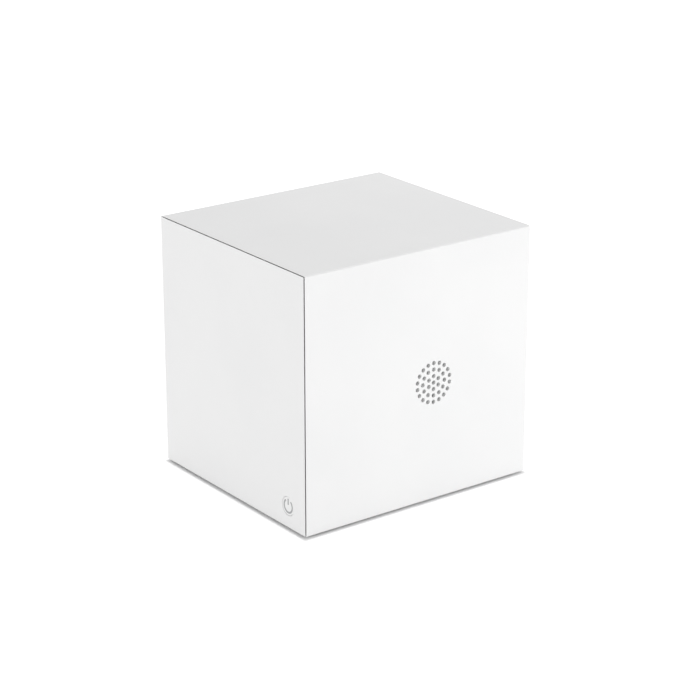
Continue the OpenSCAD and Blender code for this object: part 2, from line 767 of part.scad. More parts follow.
module wire_grommet() color("black") translate([grommet_x, grommet_y, box_z0]) rotate_extrude() polygon([
    [grommet_bore_r, -grommet_lip], [grommet_r, -grommet_lip], [grommet_r, 0],
    [grommet_r - grommet_neck, 0], [grommet_r - grommet_neck, box_wall],
    [grommet_r, box_wall], [grommet_r, box_wall + grommet_lip], [grommet_bore_r, box_wall + grommet_lip]
]);

// ---- Driver ----

module driver_basket() color("#26282b") on_driver() difference() {
    rotate_extrude() polygon([
        [surround_land_r + 0.1, 0], [driver_r, 0], [driver_r, basket_t], [basket_top_r, basket_t],
        [basket_foot_r, basket_foot_h], [basket_foot_r, plate_h], [magnet_bore_r, plate_h],
        [magnet_bore_r, basket_foot_h], [basket_foot_r - basket_wall, basket_foot_h],
        [basket_foot_r - basket_wall, spider_h + spider_t + 1.2], [spider_r - 1.2, spider_h + spider_t + 1.2],
        [spider_r - 1.2, spider_h + spider_t], [basket_foot_r - 0.6, spider_h + spider_t],
        [basket_top_r - basket_wall - 0.3, basket_t + 0.6], [surround_land_r - 1.5, basket_t],
        [surround_land_r - 1.5, surround_h], [surround_land_r + 0.1, surround_h]
    ]);
    for (turn = [0, 90]) rotate(turn) translate([-driver_r, -basket_window_w / 2, basket_t + basket_wall])
        cube([driver_d, basket_window_w, basket_window_h]);
    at_driver_screws() translate([0, 0, -cut]) cylinder(h = basket_t + 2 * cut, r = small_shaft_r + hole_gap);
}

module driver_gasket() color("#141414") on_driver() difference() {
    translate([0, 0, basket_t]) cylinder(h = basket_gasket_t, r = driver_r - 0.2);
    cylinder(h = basket_t + cut, r = basket_bore_r);
    at_driver_screws() cylinder(h = basket_t + cut, r = small_shaft_r + hole_gap);
}

// Half a roll and the flat land on each side of it, turned about the axis. Outwards is towards -h
module roll_section(roll_x, r, t, land_in, land_out, h) {
    translate([roll_x, h]) difference() {
        circle(r + t / 2);
        circle(r - t / 2);
        translate([-2 * r, 0]) square([4 * r, 2 * r]);
    }
    rect([land_in, roll_x - r + t / 2], [h - t, h]);
    rect([roll_x + r - t / 2, land_out], [h - t, h]);
}

module driver_surround() color("#1a1a1c") on_driver() rotate_extrude()
    roll_section(cone_edge_r + roll_r + roll_margin, roll_r, roll_t,
        cone_edge_r - 1.1, surround_land_r, surround_h);

module driver_cone() color("#55585c") on_driver() rotate_extrude() polygon([
    [cone_edge_r, surround_h], [cone_edge_r, surround_h + cone_t], [cone_edge_r - 1, surround_h + cone_t + 0.3],
    [coil_former_r + 0.4, cone_neck_h + 0.8], [coil_former_r, cone_neck_h + 0.8],
    [coil_former_r, cone_neck_h - 1.2], [cone_edge_r - 1.3, surround_h]
]);

// A shallow dome that closes the cone's neck: a spherical shell whose rim rests on the cone
module driver_dust_cap() color("#3b3d40") {
    shell_r = (dust_cap_r * dust_cap_r + dust_cap_rise * dust_cap_rise) / (2 * dust_cap_rise);
    slope = (cone_neck_h - 1.2 - surround_h) / (cone_edge_r - 1.3 - coil_former_r);
    rim_h = surround_h + (cone_edge_r - 1.3 - dust_cap_r) * slope;
    front_h = rim_h - dust_cap_rise;
    on_driver() rotate_extrude() intersection() {
        translate([0, front_h + shell_r]) difference() {
            circle(shell_r, $fn = 180);
            circle(shell_r - dust_cap_t, $fn = 180);
        }
        polygon([[0, front_h - cut], [dust_cap_r, front_h - cut], [dust_cap_r, rim_h],
            [0, rim_h + dust_cap_r * slope]]);
    }
}

module voice_coil_former() {
    front_h = cone_neck_h - 0.6;
    color("peru") on_driver() translate([0, 0, front_h]) difference() {
        cylinder(h = magnet_h + 1 - front_h, r = coil_former_r);
        translate([0, 0, -cut]) cylinder(h = magnet_h, r = coil_former_r - former_t);
    }
}

module voice_coil() color("chocolate") on_driver()
    translate([0, 0, plate_h + plate_t / 2 - coil_h / 2]) difference() {
        cylinder(h = coil_h, r = coil_former_r + coil_t);
        translate([0, 0, -cut]) cylinder(h = coil_h + 2 * cut, r = coil_former_r);
    }

// A corrugated disc: a flat land at each edge, and between them half waves that are 1 wide
module driver_spider() {
    count = 36;
    r0 = coil_former_r + 0.05;
    r1 = r0 + 1 + floor(spider_r - r0 - 2.7);
    function wave(r) = r > r0 + 1 && r < r1 ? 0.45 * sin((r - r0 - 1) * 180) : 0;
    steps = [for (i = [0:count]) r0 + i * (spider_r - r0) / count];
    color("goldenrod") on_driver() rotate_extrude() polygon(concat(
        [for (r = steps) [r, spider_h + wave(r)]],
        [for (i = [count:-1:0]) [steps[i], spider_h + spider_t + wave(steps[i])]]));
}

module driver_top_plate() color("silver") on_driver() translate([0, 0, plate_h]) difference() {
    cylinder(h = plate_t, r = plate_r);
    translate([0, 0, -cut]) cylinder(h = plate_t + 2 * cut, r = coil_former_r + coil_t + coil_gap);
}

module driver_magnet() color("#3d3d3f") on_driver() translate([0, 0, magnet_h]) difference() {
    cylinder(h = magnet_t, r = magnet_d / 2);
    translate([0, 0, -cut]) cylinder(h = magnet_t + 2 * cut, r = magnet_bore_r);
}

module driver_yoke() color("silver") on_driver() difference() {
    union() {
        translate([0, 0, yoke_h]) cylinder(h = yoke_t, r = plate_r);
        translate([0, 0, plate_h])
            cylinder(h = plate_t + magnet_t + sink, r = coil_former_r - former_t - pole_gap);
    }
    translate([0, 0, plate_h - cut]) cylinder(h = magnet_t + plate_t + yoke_t + 2 * cut, r = vent_r);
}

module driver_terminals() color("#c9a24a") on_driver() translate([0, plate_r, terminal_h]) {
    for (side = [-1, 1]) translate([side * terminal_x - terminal_w / 2, 0, 0])
        cube([terminal_w, terminal_l, terminal_t]);
    translate([-terminal_block.x / 2, 0, terminal_t]) cube(terminal_block);
}

module driver_screws() color("silver") on_driver() at_driver_screws() translate([0, 0, -horn_flange_t])
    mirror([0, 0, 1]) screw(horn_flange_t + basket_t + basket_gasket_t + baffle_t - 0.4,
        small_shaft_r, small_head_r, small_head_h);

// ---- Passive radiator ----

// Turns an outline about the radiator's axis: its axes are radius and height behind the box
module on_radiator() translate([radiator_x, box_y1, radiator_z]) rotate([-90, 0, 0]) children();

module radiator_frame() color("#26282b") on_radiator() difference() {
    cylinder(h = radiator_frame_t, r = radiator_r);
    translate([0, 0, -cut]) cylinder(h = radiator_frame_t + 2 * cut, r = radiator_bore_r);
}

module radiator_surround() color("#1a1a1c") on_radiator() mirror([0, 0, 1]) rotate_extrude()
    roll_section(radiator_bore_r - radiator_roll_r - roll_margin, radiator_roll_r, radiator_roll_t,
        diaphragm_r - 2, radiator_bore_r + 2, -radiator_frame_t);

module radiator_diaphragm() color("#55585c") on_radiator() translate([0, 0, radiator_frame_t - diaphragm_t])
    cylinder(h = diaphragm_t, r = diaphragm_r);

module radiator_weight() color("silver") on_radiator()
    translate([0, 0, radiator_frame_t - diaphragm_t - weight_t]) difference() {
        cylinder(h = weight_t, r = weight_r);
        translate([0, 0, -cut]) cylinder(h = weight_t + 2 * cut, r = weight_bore_r);
    }

module rear_mesh() color("#202124") translate([radiator_x, 0, radiator_z])
    facing_y(in_y, rear_mesh_t) rear_mesh_outline(0);

// ---- Electronics ----

module main_board() color("#1f5f3a") difference() {
    facing_x(board_x0, board_t) round_rect([board_y0, board_y1], [board_z0, board_z1], board_corner);
    for (y = board_screw_y, z = board_screw_z)
        rod_x(y, z, small_shaft_r + hole_gap, [board_x0 - cut, board_x1 + cut]);
}

// Screws of the main board, the button's board and the microphone board
module board_screws() color("silver") {
    for (y = board_screw_y, z = board_screw_z)
        screw_right(board_x0, y, z, board_screw_len, small_shaft_r, small_head_r, small_head_h);
    at_power_posts()
        screw_left(power_board_x + power_board_t, 0, 0,
            power_screw_len, tiny_shaft_r, tiny_head_r, tiny_head_h);
    for (side = [-1, 1])
        screw_back(side * mic_post_x, mic_board_y, mic_z,
            mic_screw_len, tiny_shaft_r, tiny_head_r, tiny_head_h);
}

// A part on the board's left face: its middle in Y and Z, its size, and its height off the board
module on_board(y, z, size_y, size_z, h)
    block([board_x0 - h, board_x0], [y - size_y / 2, y + size_y / 2], [z - size_z / 2, z + size_z / 2]);

module shield_cans() color("silver") {
    on_board(-14, board_mid_z + 11, 24, 18, 2.4);
    on_board(14, board_mid_z + 12, 14, 16, 2.2);
}

module board_chips() color("#18191b") {
    on_board(-16, board_mid_z - 11, 9, 9, 1.2);
    on_board(0, board_mid_z - 10, 7, 7, 1);
    on_board(14, board_mid_z - 9, 10, 6, 1.4);
    for (i = [0:4]) on_board(-28 + i * 3, board_mid_z + 22, 1.6, 0.9, 0.7);
    for (i = [0:3]) on_board(8 + i * 3.4, board_mid_z + 1, 2, 1.3, 0.8);
}

module board_capacitors() color("#8d9196") {
    for (i = [0:2]) rod_x(22 - i * 8, board_z0 + 12, 2.5, [board_x0 - 5.6, board_x0]);
    for (i = [0:1]) on_board(-8 - i * 8, board_z0 + 12, 6, 6, 3);
}

module board_connectors() color("ivory") {
    for (y = connector_y) on_board(y, connector_z + 2.5, 7, 5, connector_h);
    for (y = top_connector_y) on_board(y, board_z1 - 4, 6, 4, connector_h);
}

module charging_socket() color("silver") translate([io_x, half_d - socket_mouth - socket_len, socket_z]) {
    difference() {
        facing_y(0, socket_len) rotate(90) slot(socket_w, socket_t);
        facing_y(socket_back, socket_len)
            rotate(90) slot(socket_w - 2 * socket_wall, socket_t - 2 * socket_wall);
    }
    facing_y(socket_back - sink, socket_len - tongue_inset - socket_back + sink)
        square([tongue_t, tongue_w], center = true);
}

module antenna() color("#b5651d") block([box_x1, box_x1 + antenna_t], [-antenna_l / 2, antenna_l / 2],
    [antenna_z - antenna_w / 2, antenna_z + antenna_w / 2]);

// Wires: driver to board, battery to board, button board and microphones to board, antenna lead
module internal_wires() color("firebrick") {
    bay_z = tray_top + 8;
    box_floor = box_z0 + box_wall + 2;
    term_y = flange_y + terminal_h + 0.3;
    // the driver's axes are turned, so its terminals point down
    term_x = outlet_x - terminal_x;
    term_z = outlet_z - plate_r - terminal_l;
    wire([[term_x, term_y, term_z], [term_x, term_y, box_floor], [grommet_x, term_y, box_floor],
        [grommet_x, grommet_y, box_floor], [grommet_x, grommet_y, bay_z], [wire_x, grommet_y, bay_z],
        [wire_x, grommet_y, connector_z]], power_wire_r);
    cell_z = battery_z + battery_h / 2;
    wire([[battery_x - battery_w / 2, connector_y[2], cell_z], [wire_x, connector_y[2], cell_z],
        [wire_x, connector_y[2], connector_z]], power_wire_r);
    button_wire_x = power_board_x + power_board_t + 0.8;
    wire([[button_wire_x, connector_y[0], power_z + 2], [button_wire_x, connector_y[0], connector_z + 2.5],
        [board_x0 - connector_h, connector_y[0], connector_z + 2.5]], signal_wire_r);
    wire([[-mic_board_l / 2 + 2, mic_board_y - 0.7, mic_z], [wire_x, mic_board_y - 0.7, mic_z],
        [wire_x, top_connector_y[1], mic_z], [wire_x, top_connector_y[1], board_z1 - 2]], signal_wire_r);
    lead_x = box_x1 + 1;
    lead_z = ceil_z - 1;
    wire([[lead_x, 0, antenna_z], [lead_x, 0, lead_z], [wire_x, 0, lead_z], [wire_x, 0, board_z1 - 2]], lead_r);
}

module volume_button(z) {
    flange_y1 = in_y - cap_gap;
    rod_y(io_x, z, volume_d / 2, [flange_y1 - sink, half_d - flush]);
    rod_y(io_x, z, volume_d / 2 + cap_flange, [flange_y1 - cap_flange_t, flange_y1]);
    rod_y(io_x, z, stem_r, [switch_y1 - stem_gap, flange_y1 - sink]);
}

module volume_up_button() color("white") volume_button(volume_up_z);

module volume_down_button() color("white") volume_button(volume_down_z);

// At rest the microphone switch stands at the lower end of its travel
module mic_mute_slider() color("lightgray") translate([io_x, 0, mute_z - mute_travel / 2]) {
    flange_y1 = in_y - cap_gap;
    cover = mute_travel + mute_plate_end;
    block([-mute_w / 2, mute_w / 2], [flange_y1 - sink, half_d - flush], [-mute_l / 2, mute_l / 2]);
    block([-mute_w / 2 - mute_plate_side, mute_w / 2 + mute_plate_side], [flange_y1 - cap_flange_t, flange_y1],
        [-mute_l / 2 - cover, mute_l / 2 + cover]);
    block([-mute_lever_w / 2, mute_lever_w / 2], [switch_y1 - stem_gap, flange_y1 - sink],
        [-mute_lever / 2, mute_lever / 2]);
}

module rear_switch(z, width) block([board_x0 - switch_t, board_x0], [switch_y1 - switch_len, switch_y1],
    [z - width / 2, z + width / 2]);

module rear_switches() color("#202124") difference() {
    slide_half = (mute_travel + mute_lever) / 2 + stem_gap;
    union() {
        for (z = [volume_down_z, volume_up_z]) rear_switch(z, switch_w);
        rear_switch(mute_z, mute_switch_w);
    }
    for (z = [volume_down_z, volume_up_z])
        rod_y(io_x, z, stem_r + stem_gap, [switch_y1 - well_depth, switch_y1 + cut]);
    block([io_x - mute_lever_w / 2 - stem_gap, io_x + mute_lever_w / 2 + stem_gap],
        [switch_y1 - well_depth, switch_y1 + cut], [mute_z - slide_half, mute_z + slide_half]);
}

module at_mics() for (side = [-1, 1]) translate([side * mic_spacing / 2, 0, mic_z]) children();

module mic_board() color("#1f5f3a") difference() {
    facing_y(mic_board_y, mic_board_t) round_rect([-mic_board_l / 2, mic_board_l / 2],
        [mic_z - mic_board_h / 2, mic_z + mic_board_h / 2], mic_board_corner);
    bore = [mic_board_y - cut, mic_board_y + mic_board_t + cut];
    at_mics() rod_y(0, 0, mic_board_hole_r, bore);
    for (side = [-1, 1]) rod_y(side * mic_post_x, mic_z, tiny_shaft_r + tiny_hole_gap, bore);
}

module microphones() color("gold") at_mics()
    block([-mic_can.x / 2, mic_can.x / 2], [mic_board_y - mic_can.y, mic_board_y],
        [-mic_can.z / 2, mic_can.z / 2]);

module mic_gaskets() color("#303030") at_mics() difference() {
    rod_y(0, 0, mic_gasket_r, [in_y - mic_gasket_t, in_y]);
    rod_y(0, 0, mic_gasket_bore_r, [in_y - mic_gasket_t - cut, in_y + cut]);
}

module battery_pack() color("#b8bcc2") {
    x = [battery_x - battery_w / 2, battery_x + battery_w / 2];
    y = [-battery_l / 2, battery_l / 2];
    translate([0, 0, battery_z]) linear_extrude(battery_h) round_rect(x, y, cell_corner);
    for (side = [-1, 1]) block([x[0] + cell_pad_inset, x[1] - cell_pad_inset],
        [side * battery_l / 4 - cell_pad_w / 2, side * battery_l / 4 + cell_pad_w / 2],
        [tray_top, battery_z + sink]);
}

module battery_bracket() color("#6d7278") translate([battery_x, 0, 0]) difference() {
    union() {
        block([-strap_half, strap_half], [-strap_w / 2, strap_w / 2], [strap_z, strap_z + strap_t]);
        for (side = [0, 1]) mirror([side, 0, 0]) {
            block([strap_half - strap_t, strap_half], [-strap_w / 2, strap_w / 2],
                [tray_top + battery_rest, strap_z + sink]);
            block([strap_half - strap_t, strap_half + strap_foot], [-strap_w / 2, strap_w / 2],
                [tray_top + battery_rest, tray_top + battery_rest + strap_t]);
        }
    }
    for (side = [-1, 1]) translate([side * strap_screw_x, 0, 0])
        cylinder(h = 4 * tray_top, r = small_shaft_r + hole_gap);
}

casing_sleeve();
left_side_panel();
right_side_panel();
foot(-1, -1);  // foot_front_left
foot(1, -1);  // foot_front_right
foot(-1, 1);  // foot_back_left
foot(1, 1);  // foot_back_right
casing_screws();
base_tray();
bottom_label();
outlet_mesh();
waveguide_gasket();
outlet_waveguide();
power_button();
power_symbol();
power_switch();
button_board();
acoustic_box_front();
acoustic_box_rear();
box_gasket();
box_screws();
leg_screws();
damping_pad();
wire_grommet();
driver_basket();
driver_gasket();
driver_surround();
driver_cone();
driver_dust_cap();
voice_coil_former();
voice_coil();
driver_spider();
driver_top_plate();
driver_magnet();
driver_yoke();
driver_terminals();
driver_screws();
radiator_frame();
radiator_surround();
radiator_diaphragm();
radiator_weight();
rear_mesh();
main_board();
board_screws();
shield_cans();
board_chips();
board_capacitors();
board_connectors();
charging_socket();
antenna();
internal_wires();
volume_up_button();
volume_down_button();
mic_mute_slider();
rear_switches();
mic_board();
microphones();
mic_gaskets();
battery_pack();
battery_bracket();
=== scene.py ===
import math

import bmesh
import bpy
from mathutils import Matrix, Vector


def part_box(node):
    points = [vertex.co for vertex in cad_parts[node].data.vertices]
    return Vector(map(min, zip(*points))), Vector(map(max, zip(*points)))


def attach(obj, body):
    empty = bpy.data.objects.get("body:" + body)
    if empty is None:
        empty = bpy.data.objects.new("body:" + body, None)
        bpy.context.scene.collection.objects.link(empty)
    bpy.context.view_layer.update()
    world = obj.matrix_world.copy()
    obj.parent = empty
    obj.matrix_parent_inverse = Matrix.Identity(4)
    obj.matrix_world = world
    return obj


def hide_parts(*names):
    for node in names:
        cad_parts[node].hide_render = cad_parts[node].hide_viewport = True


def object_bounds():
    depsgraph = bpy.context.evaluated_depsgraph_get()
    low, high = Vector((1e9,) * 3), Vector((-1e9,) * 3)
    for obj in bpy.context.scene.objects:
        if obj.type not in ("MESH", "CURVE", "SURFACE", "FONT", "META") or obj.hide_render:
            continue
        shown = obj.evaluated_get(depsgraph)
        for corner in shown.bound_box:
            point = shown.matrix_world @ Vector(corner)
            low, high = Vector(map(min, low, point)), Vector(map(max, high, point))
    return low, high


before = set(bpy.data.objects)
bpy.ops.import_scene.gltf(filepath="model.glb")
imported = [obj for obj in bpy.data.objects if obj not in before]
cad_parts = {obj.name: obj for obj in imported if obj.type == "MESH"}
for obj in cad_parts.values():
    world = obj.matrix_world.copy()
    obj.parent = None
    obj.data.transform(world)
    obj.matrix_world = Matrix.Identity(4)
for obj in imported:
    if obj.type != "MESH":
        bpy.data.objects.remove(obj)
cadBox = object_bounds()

# A cube-shaped smart speaker: its camera, its light, the finishes of all its pieces, and the fine
# pieces that are made here: woven meshes, feet, signs, the label's print and the socket's contacts.
# Lengths are in metres.

mm = 0.001
low, high = cadBox
middle = (low + high) / 2
halfWidth = (high.x - low.x) / 2
halfDepth = (high.y - low.y) / 2
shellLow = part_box("casing_sleeve")[0].z


class Signal:  # an output of a node; sums and products of wires add Math nodes
    def __init__(self, finish, socket):
        self.finish = finish
        self.socket = socket

    def calculate(self, operation, first, second):
        return self.finish.add("ShaderNodeMath", {"operation": operation}, {0: first, 1: second})

    def __add__(self, other):
        return self.calculate("ADD", self, other)

    def __radd__(self, other):
        return self.calculate("ADD", other, self)

    def __sub__(self, other):
        return self.calculate("SUBTRACT", self, other)

    def __rsub__(self, other):
        return self.calculate("SUBTRACT", other, self)

    def __mul__(self, other):
        return self.calculate("MULTIPLY", self, other)

    def __rmul__(self, other):
        return self.calculate("MULTIPLY", other, self)

    def atLeast(self, other):
        return self.calculate("MAXIMUM", self, other)

    def atMost(self, other):
        return self.calculate("MINIMUM", self, other)

    def size(self):
        return self.calculate("ABSOLUTE", self, 0.0)

    def wave(self):
        return self.calculate("SINE", self, 0.0)


class Finish:  # a material, or the world, and the nodes in it
    def __init__(self, owner):
        self.owner = bpy.data.materials.new(owner) if isinstance(owner, str) else owner
        self.owner.use_nodes = True
        self.tree = self.owner.node_tree
        self.tree.nodes.clear()

    def add(self, kind, settings=None, sockets=None, out=0):
        node = self.tree.nodes.new(kind)
        for name, value in (settings or {}).items():
            setattr(node, name, value)
        for key, value in (sockets or {}).items():
            if isinstance(value, Signal):
                self.tree.links.new(value.socket, node.inputs[key])
            else:
                node.inputs[key].default_value = value
        return Signal(self, node.outputs[out]) if node.outputs else None

    def place(self):  # where a point is in the object's own frame, in metres
        return self.add("ShaderNodeTexCoord", out="Object")

    def scaled(self, vector, amounts):
        return self.add("ShaderNodeVectorMath", {"operation": "MULTIPLY"}, {0: vector, 1: amounts})

    def shares(self, vector):  # a vector's three numbers
        split = self.add("ShaderNodeSeparateXYZ", sockets={0: vector})
        return [Signal(self, split.socket.node.outputs[i]) for i in range(3)]

    def noise(self, place, size, detail=2.0, roughness=0.5):
        return self.add("ShaderNodeTexNoise", sockets={
            "Vector": place, "Scale": 1 / size, "Detail": detail, "Roughness": roughness})

    def cells(self, place, size):  # the distance to the nearest of scattered points
        return self.add("ShaderNodeTexVoronoi", {"feature": "F1"}, {"Vector": place, "Scale": 1 / size})

    def mix(self, mask, first, second):  # colours
        sockets = {0: mask}
        for key, value in ((6, first), (7, second)):
            sockets[key] = value if isinstance(value, Signal) else (*value, 1)
        return self.add("ShaderNodeMix", {"data_type": "RGBA"}, sockets, out=2)

    def spread(self, value, lowest, highest):  # 0 at lowest and below, 1 at highest and above
        return self.add("ShaderNodeMapRange", {"interpolation_type": "SMOOTHSTEP"},
                        {"Value": value, "From Min": lowest, "From Max": highest})

    def bump(self, height, depth, strength):
        return self.add("ShaderNodeBump", sockets={
            "Height": height, "Distance": depth, "Strength": strength})

    def surface(self, **values):  # the shader, with a plain word for each of its sockets
        names = {"colour": "Base Color", "roughness": "Roughness", "metallic": "Metallic",
                 "normal": "Normal", "coat": "Coat Weight", "sheen": "Sheen Weight"}
        sockets = {names[name]: value for name, value in values.items()}
        return self.close(self.add("ShaderNodeBsdfPrincipled", sockets=sockets))

    def close(self, shader, output="ShaderNodeOutputMaterial"):
        self.add(output, sockets={"Surface": shader})
        return self.owner


# angles in degrees from the front and from level; right and up slide the view off the casing's middle
camera = {"azimuth": -36.73, "elevation": 19.95, "distance": 0.8697, "lens": 116.9,
          "right": 2.13 * mm, "up": -1.63 * mm}


def placeCamera(values):
    turn = math.radians(values["azimuth"])
    tilt = math.radians(values["elevation"])
    back = Vector((math.sin(turn) * math.cos(tilt), -math.cos(turn) * math.cos(tilt), math.sin(tilt)))
    right = Vector((math.cos(turn), math.sin(turn), 0))
    up = back.cross(right)
    data = bpy.data.cameras.new("camera")
    data.lens = values["lens"]
    data.sensor_width = 36
    data.clip_start = 0.01
    thing = bpy.data.objects.new("camera", data)
    bpy.context.scene.collection.objects.link(thing)
    spot = middle + right * values["right"] + up * values["up"] + back * values["distance"]
    turned = Matrix((right, up, back)).transposed().to_4x4()
    thing.matrix_world = Matrix.Translation(spot) @ turned
    bpy.context.scene.camera = thing


# the floor glows a little, and not beside the casing's edge, where the casing's shade falls
floor = {"size": 12.0, "colour": (0.95, 0.95, 0.95), "roughness": 0.9, "glow": 0.37, "grain": 4 * mm,
         "shadeIn": 9 * mm, "shadeFade": 2 * mm, "shadeOut": 1.6 * mm}


def layFloor(values):
    finish = Finish("paleFloor")
    place = finish.place()
    across, along = finish.shares(place)[:2]
    outside = (across.size() - halfWidth).atLeast(along.size() - halfDepth)
    beside = finish.spread(outside, 0.0, values["shadeOut"])
    under = 1 - finish.spread(outside, -values["shadeIn"], values["shadeFade"] - values["shadeIn"])
    lit = beside.atLeast(under)
    grain = finish.noise(place, values["grain"])
    shader = finish.add("ShaderNodeBsdfPrincipled", sockets={
        "Base Color": (*values["colour"], 1), "Roughness": values["roughness"] + (grain - 0.5) * 0.05,
        "Emission Color": finish.mix(lit, (0, 0, 0), (1, 1, 1)), "Emission Strength": values["glow"]})
    # the floor is seen through from below, so that the feet and the label show
    below = finish.add("ShaderNodeNewGeometry", out="Backfacing")
    clear = finish.add("ShaderNodeBsdfTransparent")
    material = finish.close(finish.add("ShaderNodeMixShader", sockets={0: below, 1: shader, 2: clear}))
    half = values["size"] / 2
    corners = [(-half, -half, 0), (half, -half, 0), (half, half, 0), (-half, half, 0)]
    mesh = bpy.data.meshes.new("floor")
    mesh.from_pydata(corners, [], [(0, 1, 2, 3)])
    thing = bpy.data.objects.new("floor", mesh)
    bpy.context.scene.collection.objects.link(thing)
    mesh.materials.append(material)


# each lamp: its angle from the front, its angle above level, its distance, its size and its watts
lamps = {
    "frontRight": {"azimuth": 24, "elevation": 0, "distance": 0.42, "size": 0.14, "power": 0.225},
    "left": {"azimuth": -95, "elevation": 2, "distance": 1.6, "size": 0.4, "power": 1.1},
    "above": {"azimuth": 120, "elevation": 62, "distance": 0.6, "size": 0.4, "power": 0.66},
}
roomLight = 0.80
paperWhite = 1.0  # what the camera sees behind everything


def hangLamps():
    for name, values in lamps.items():
        turn = math.radians(values["azimuth"])
        tilt = math.radians(values["elevation"])
        away = Vector((math.sin(turn) * math.cos(tilt), -math.cos(turn) * math.cos(tilt), math.sin(tilt)))
        data = bpy.data.lights.new(name, "AREA")
        data.shape = "DISK"
        data.size = values["size"]
        data.energy = values["power"]
        thing = bpy.data.objects.new(name, data)
        bpy.context.scene.collection.objects.link(thing)
        thing.location = middle + away * values["distance"]
        thing.rotation_euler = away.to_track_quat("Z", "Y").to_euler()
        thing.visible_camera = False
    bpy.context.scene.world = bpy.data.worlds.new("studio")
    sky = Finish(bpy.context.scene.world)
    seen = sky.add("ShaderNodeLightPath", out="Is Camera Ray")
    room, behind = [
        sky.add("ShaderNodeBackground", sockets={"Color": (1, 1, 1, 1), "Strength": strength})
        for strength in (roomLight, paperWhite)]
    mixed = sky.add("ShaderNodeMixShader", sockets={0: seen, 1: room, 2: behind})
    sky.close(mixed, "ShaderNodeOutputWorld")
    bpy.context.scene.view_settings.view_transform = "Standard"


placeCamera(camera)
layFloor(floor)
hangLamps()
print("camera, floor and light are up")


def dress(material, *nodes):
    for name in nodes:
        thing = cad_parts[name]
        thing.data.materials.clear()
        thing.data.materials.append(material)


whiteShell = {
    "colour": (0.80, 0.80, 0.80),
    "cloud": (0.786, 0.787, 0.788), "cloudSize": 45 * mm,
    "roughness": 0.5, "roughnessSpread": 0.12, "polish": 0.12, "edge": 1.4 * mm,
    "grain": 0.35 * mm, "grainDepth": 0.006 * mm, "pitSize": 0.595 * mm, "pitShare": 0.5, "relief": 0.6,
}


def satinShell(values):
    finish = Finish("satinShell")
    place = finish.place()
    across, along, up = finish.shares(place)
    # the distance to the casing's nearest edge is the middle one of the distances to its faces
    fromSides = halfWidth - across.size()
    fromFront = halfDepth - along.size()
    fromTop = (high.z - shellLow) / 2 - (up - (high.z + shellLow) / 2).size()
    edgeDistance = fromSides.atMost(fromFront).atLeast(fromSides.atLeast(fromFront).atMost(fromTop))
    edge = 1 - finish.spread(edgeDistance, 0.0, values["edge"])
    cloud = finish.noise(place, values["cloudSize"], detail=4.0)
    grain = finish.noise(place, values["grain"], detail=2.0)
    pits = finish.cells(place, values["pitSize"])
    unevenness = (grain - 0.5) * values["roughnessSpread"]
    return finish.surface(
        colour=finish.mix(finish.spread(cloud, 0.35, 0.65), values["colour"], values["cloud"]),
        roughness=values["roughness"] + unevenness - edge * values["polish"],
        normal=finish.bump(grain + pits * values["pitShare"], values["grainDepth"], values["relief"]))


def mouldedPlastic(name, colour, roughness=0.45, grain=0.4 * mm, depth=0.01 * mm, coat=0.0):
    finish = Finish(name)
    place = finish.place()
    cloud = finish.noise(place, 12 * mm, detail=3.0)
    texture = finish.noise(place, grain, detail=2.0)
    darker = tuple(part * 0.9 for part in colour)
    return finish.surface(
        colour=finish.mix(finish.spread(cloud, 0.3, 0.7), colour, darker),
        roughness=roughness + (texture - 0.5) * 0.2, coat=coat,
        normal=finish.bump(texture, depth, 0.7))


def rubber(name, colour, roughness=0.75):
    finish = Finish(name)
    place = finish.place()
    dust = finish.noise(place, 6 * mm, detail=4.0, roughness=0.6)
    skin = finish.noise(place, 0.25 * mm, detail=2.0)
    lighter = tuple(min(1.0, part * 1.25 + 0.01) for part in colour)
    return finish.surface(
        colour=finish.mix(finish.spread(dust, 0.4, 0.75), colour, lighter),
        roughness=roughness - (skin - 0.5) * 0.15,
        normal=finish.bump(skin, 0.02 * mm, 0.6))


def foam(name, colour):
    finish = Finish(name)
    place = finish.place()
    cells = finish.cells(place, 0.35 * mm)
    # the foam is painted darker in the pits of its cells, the same pits that the bump sinks: painted
    # shade in the pores
    tone = finish.spread(cells, 0.1, 0.6)
    darker = tuple(part * 0.45 for part in colour)
    return finish.surface(colour=finish.mix(tone, darker, colour), roughness=0.9 - tone * 0.1,
                          normal=finish.bump(cells, 0.12 * mm, 0.8))


def platedSteel(name, colour, roughness=0.32, stretch=(1, 1, 12)):
    finish = Finish(name)
    place = finish.place()
    brushed = finish.noise(finish.scaled(place, stretch), 2 * mm, detail=4.0, roughness=0.65)
    stain = finish.noise(place, 5 * mm, detail=3.0)
    duller = tuple(part * 0.78 for part in colour)
    return finish.surface(
        colour=finish.mix(finish.spread(stain, 0.4, 0.8), colour, duller), metallic=1.0,
        roughness=roughness + (brushed - 0.5) * 0.25,
        normal=finish.bump(brushed, 0.01 * mm, 0.4))


def paintedSteel(name, colour):
    finish = Finish(name)
    place = finish.place()
    peel = finish.noise(place, 1.1 * mm, detail=2.0)
    chip = finish.spread(finish.noise(place, 3.5 * mm, detail=5.0, roughness=0.7), 0.72, 0.76)
    return finish.surface(
        colour=finish.mix(chip, colour, (0.42, 0.43, 0.44)), metallic=chip,
        roughness=0.38 + peel * 0.14, normal=finish.bump(peel, 0.03 * mm, 0.5))


def wovenCloth(name, colour, thread=0.5 * mm, sheen=0.3, shade=0.55):
    finish = Finish(name)
    across, along, up = finish.shares(finish.place())
    turns = 2 * math.pi / thread
    weave = (across * turns).wave() * (up * turns).wave() + (along * turns).wave() * 0.3
    height = weave * 0.5 + 0.5
    darker = tuple(part * shade for part in colour)
    return finish.surface(
        colour=finish.mix(finish.spread(height, 0.1, 0.9), darker, colour),
        roughness=0.85 - height * 0.1, sheen=sheen, normal=finish.bump(height, 0.08 * mm, 0.8))


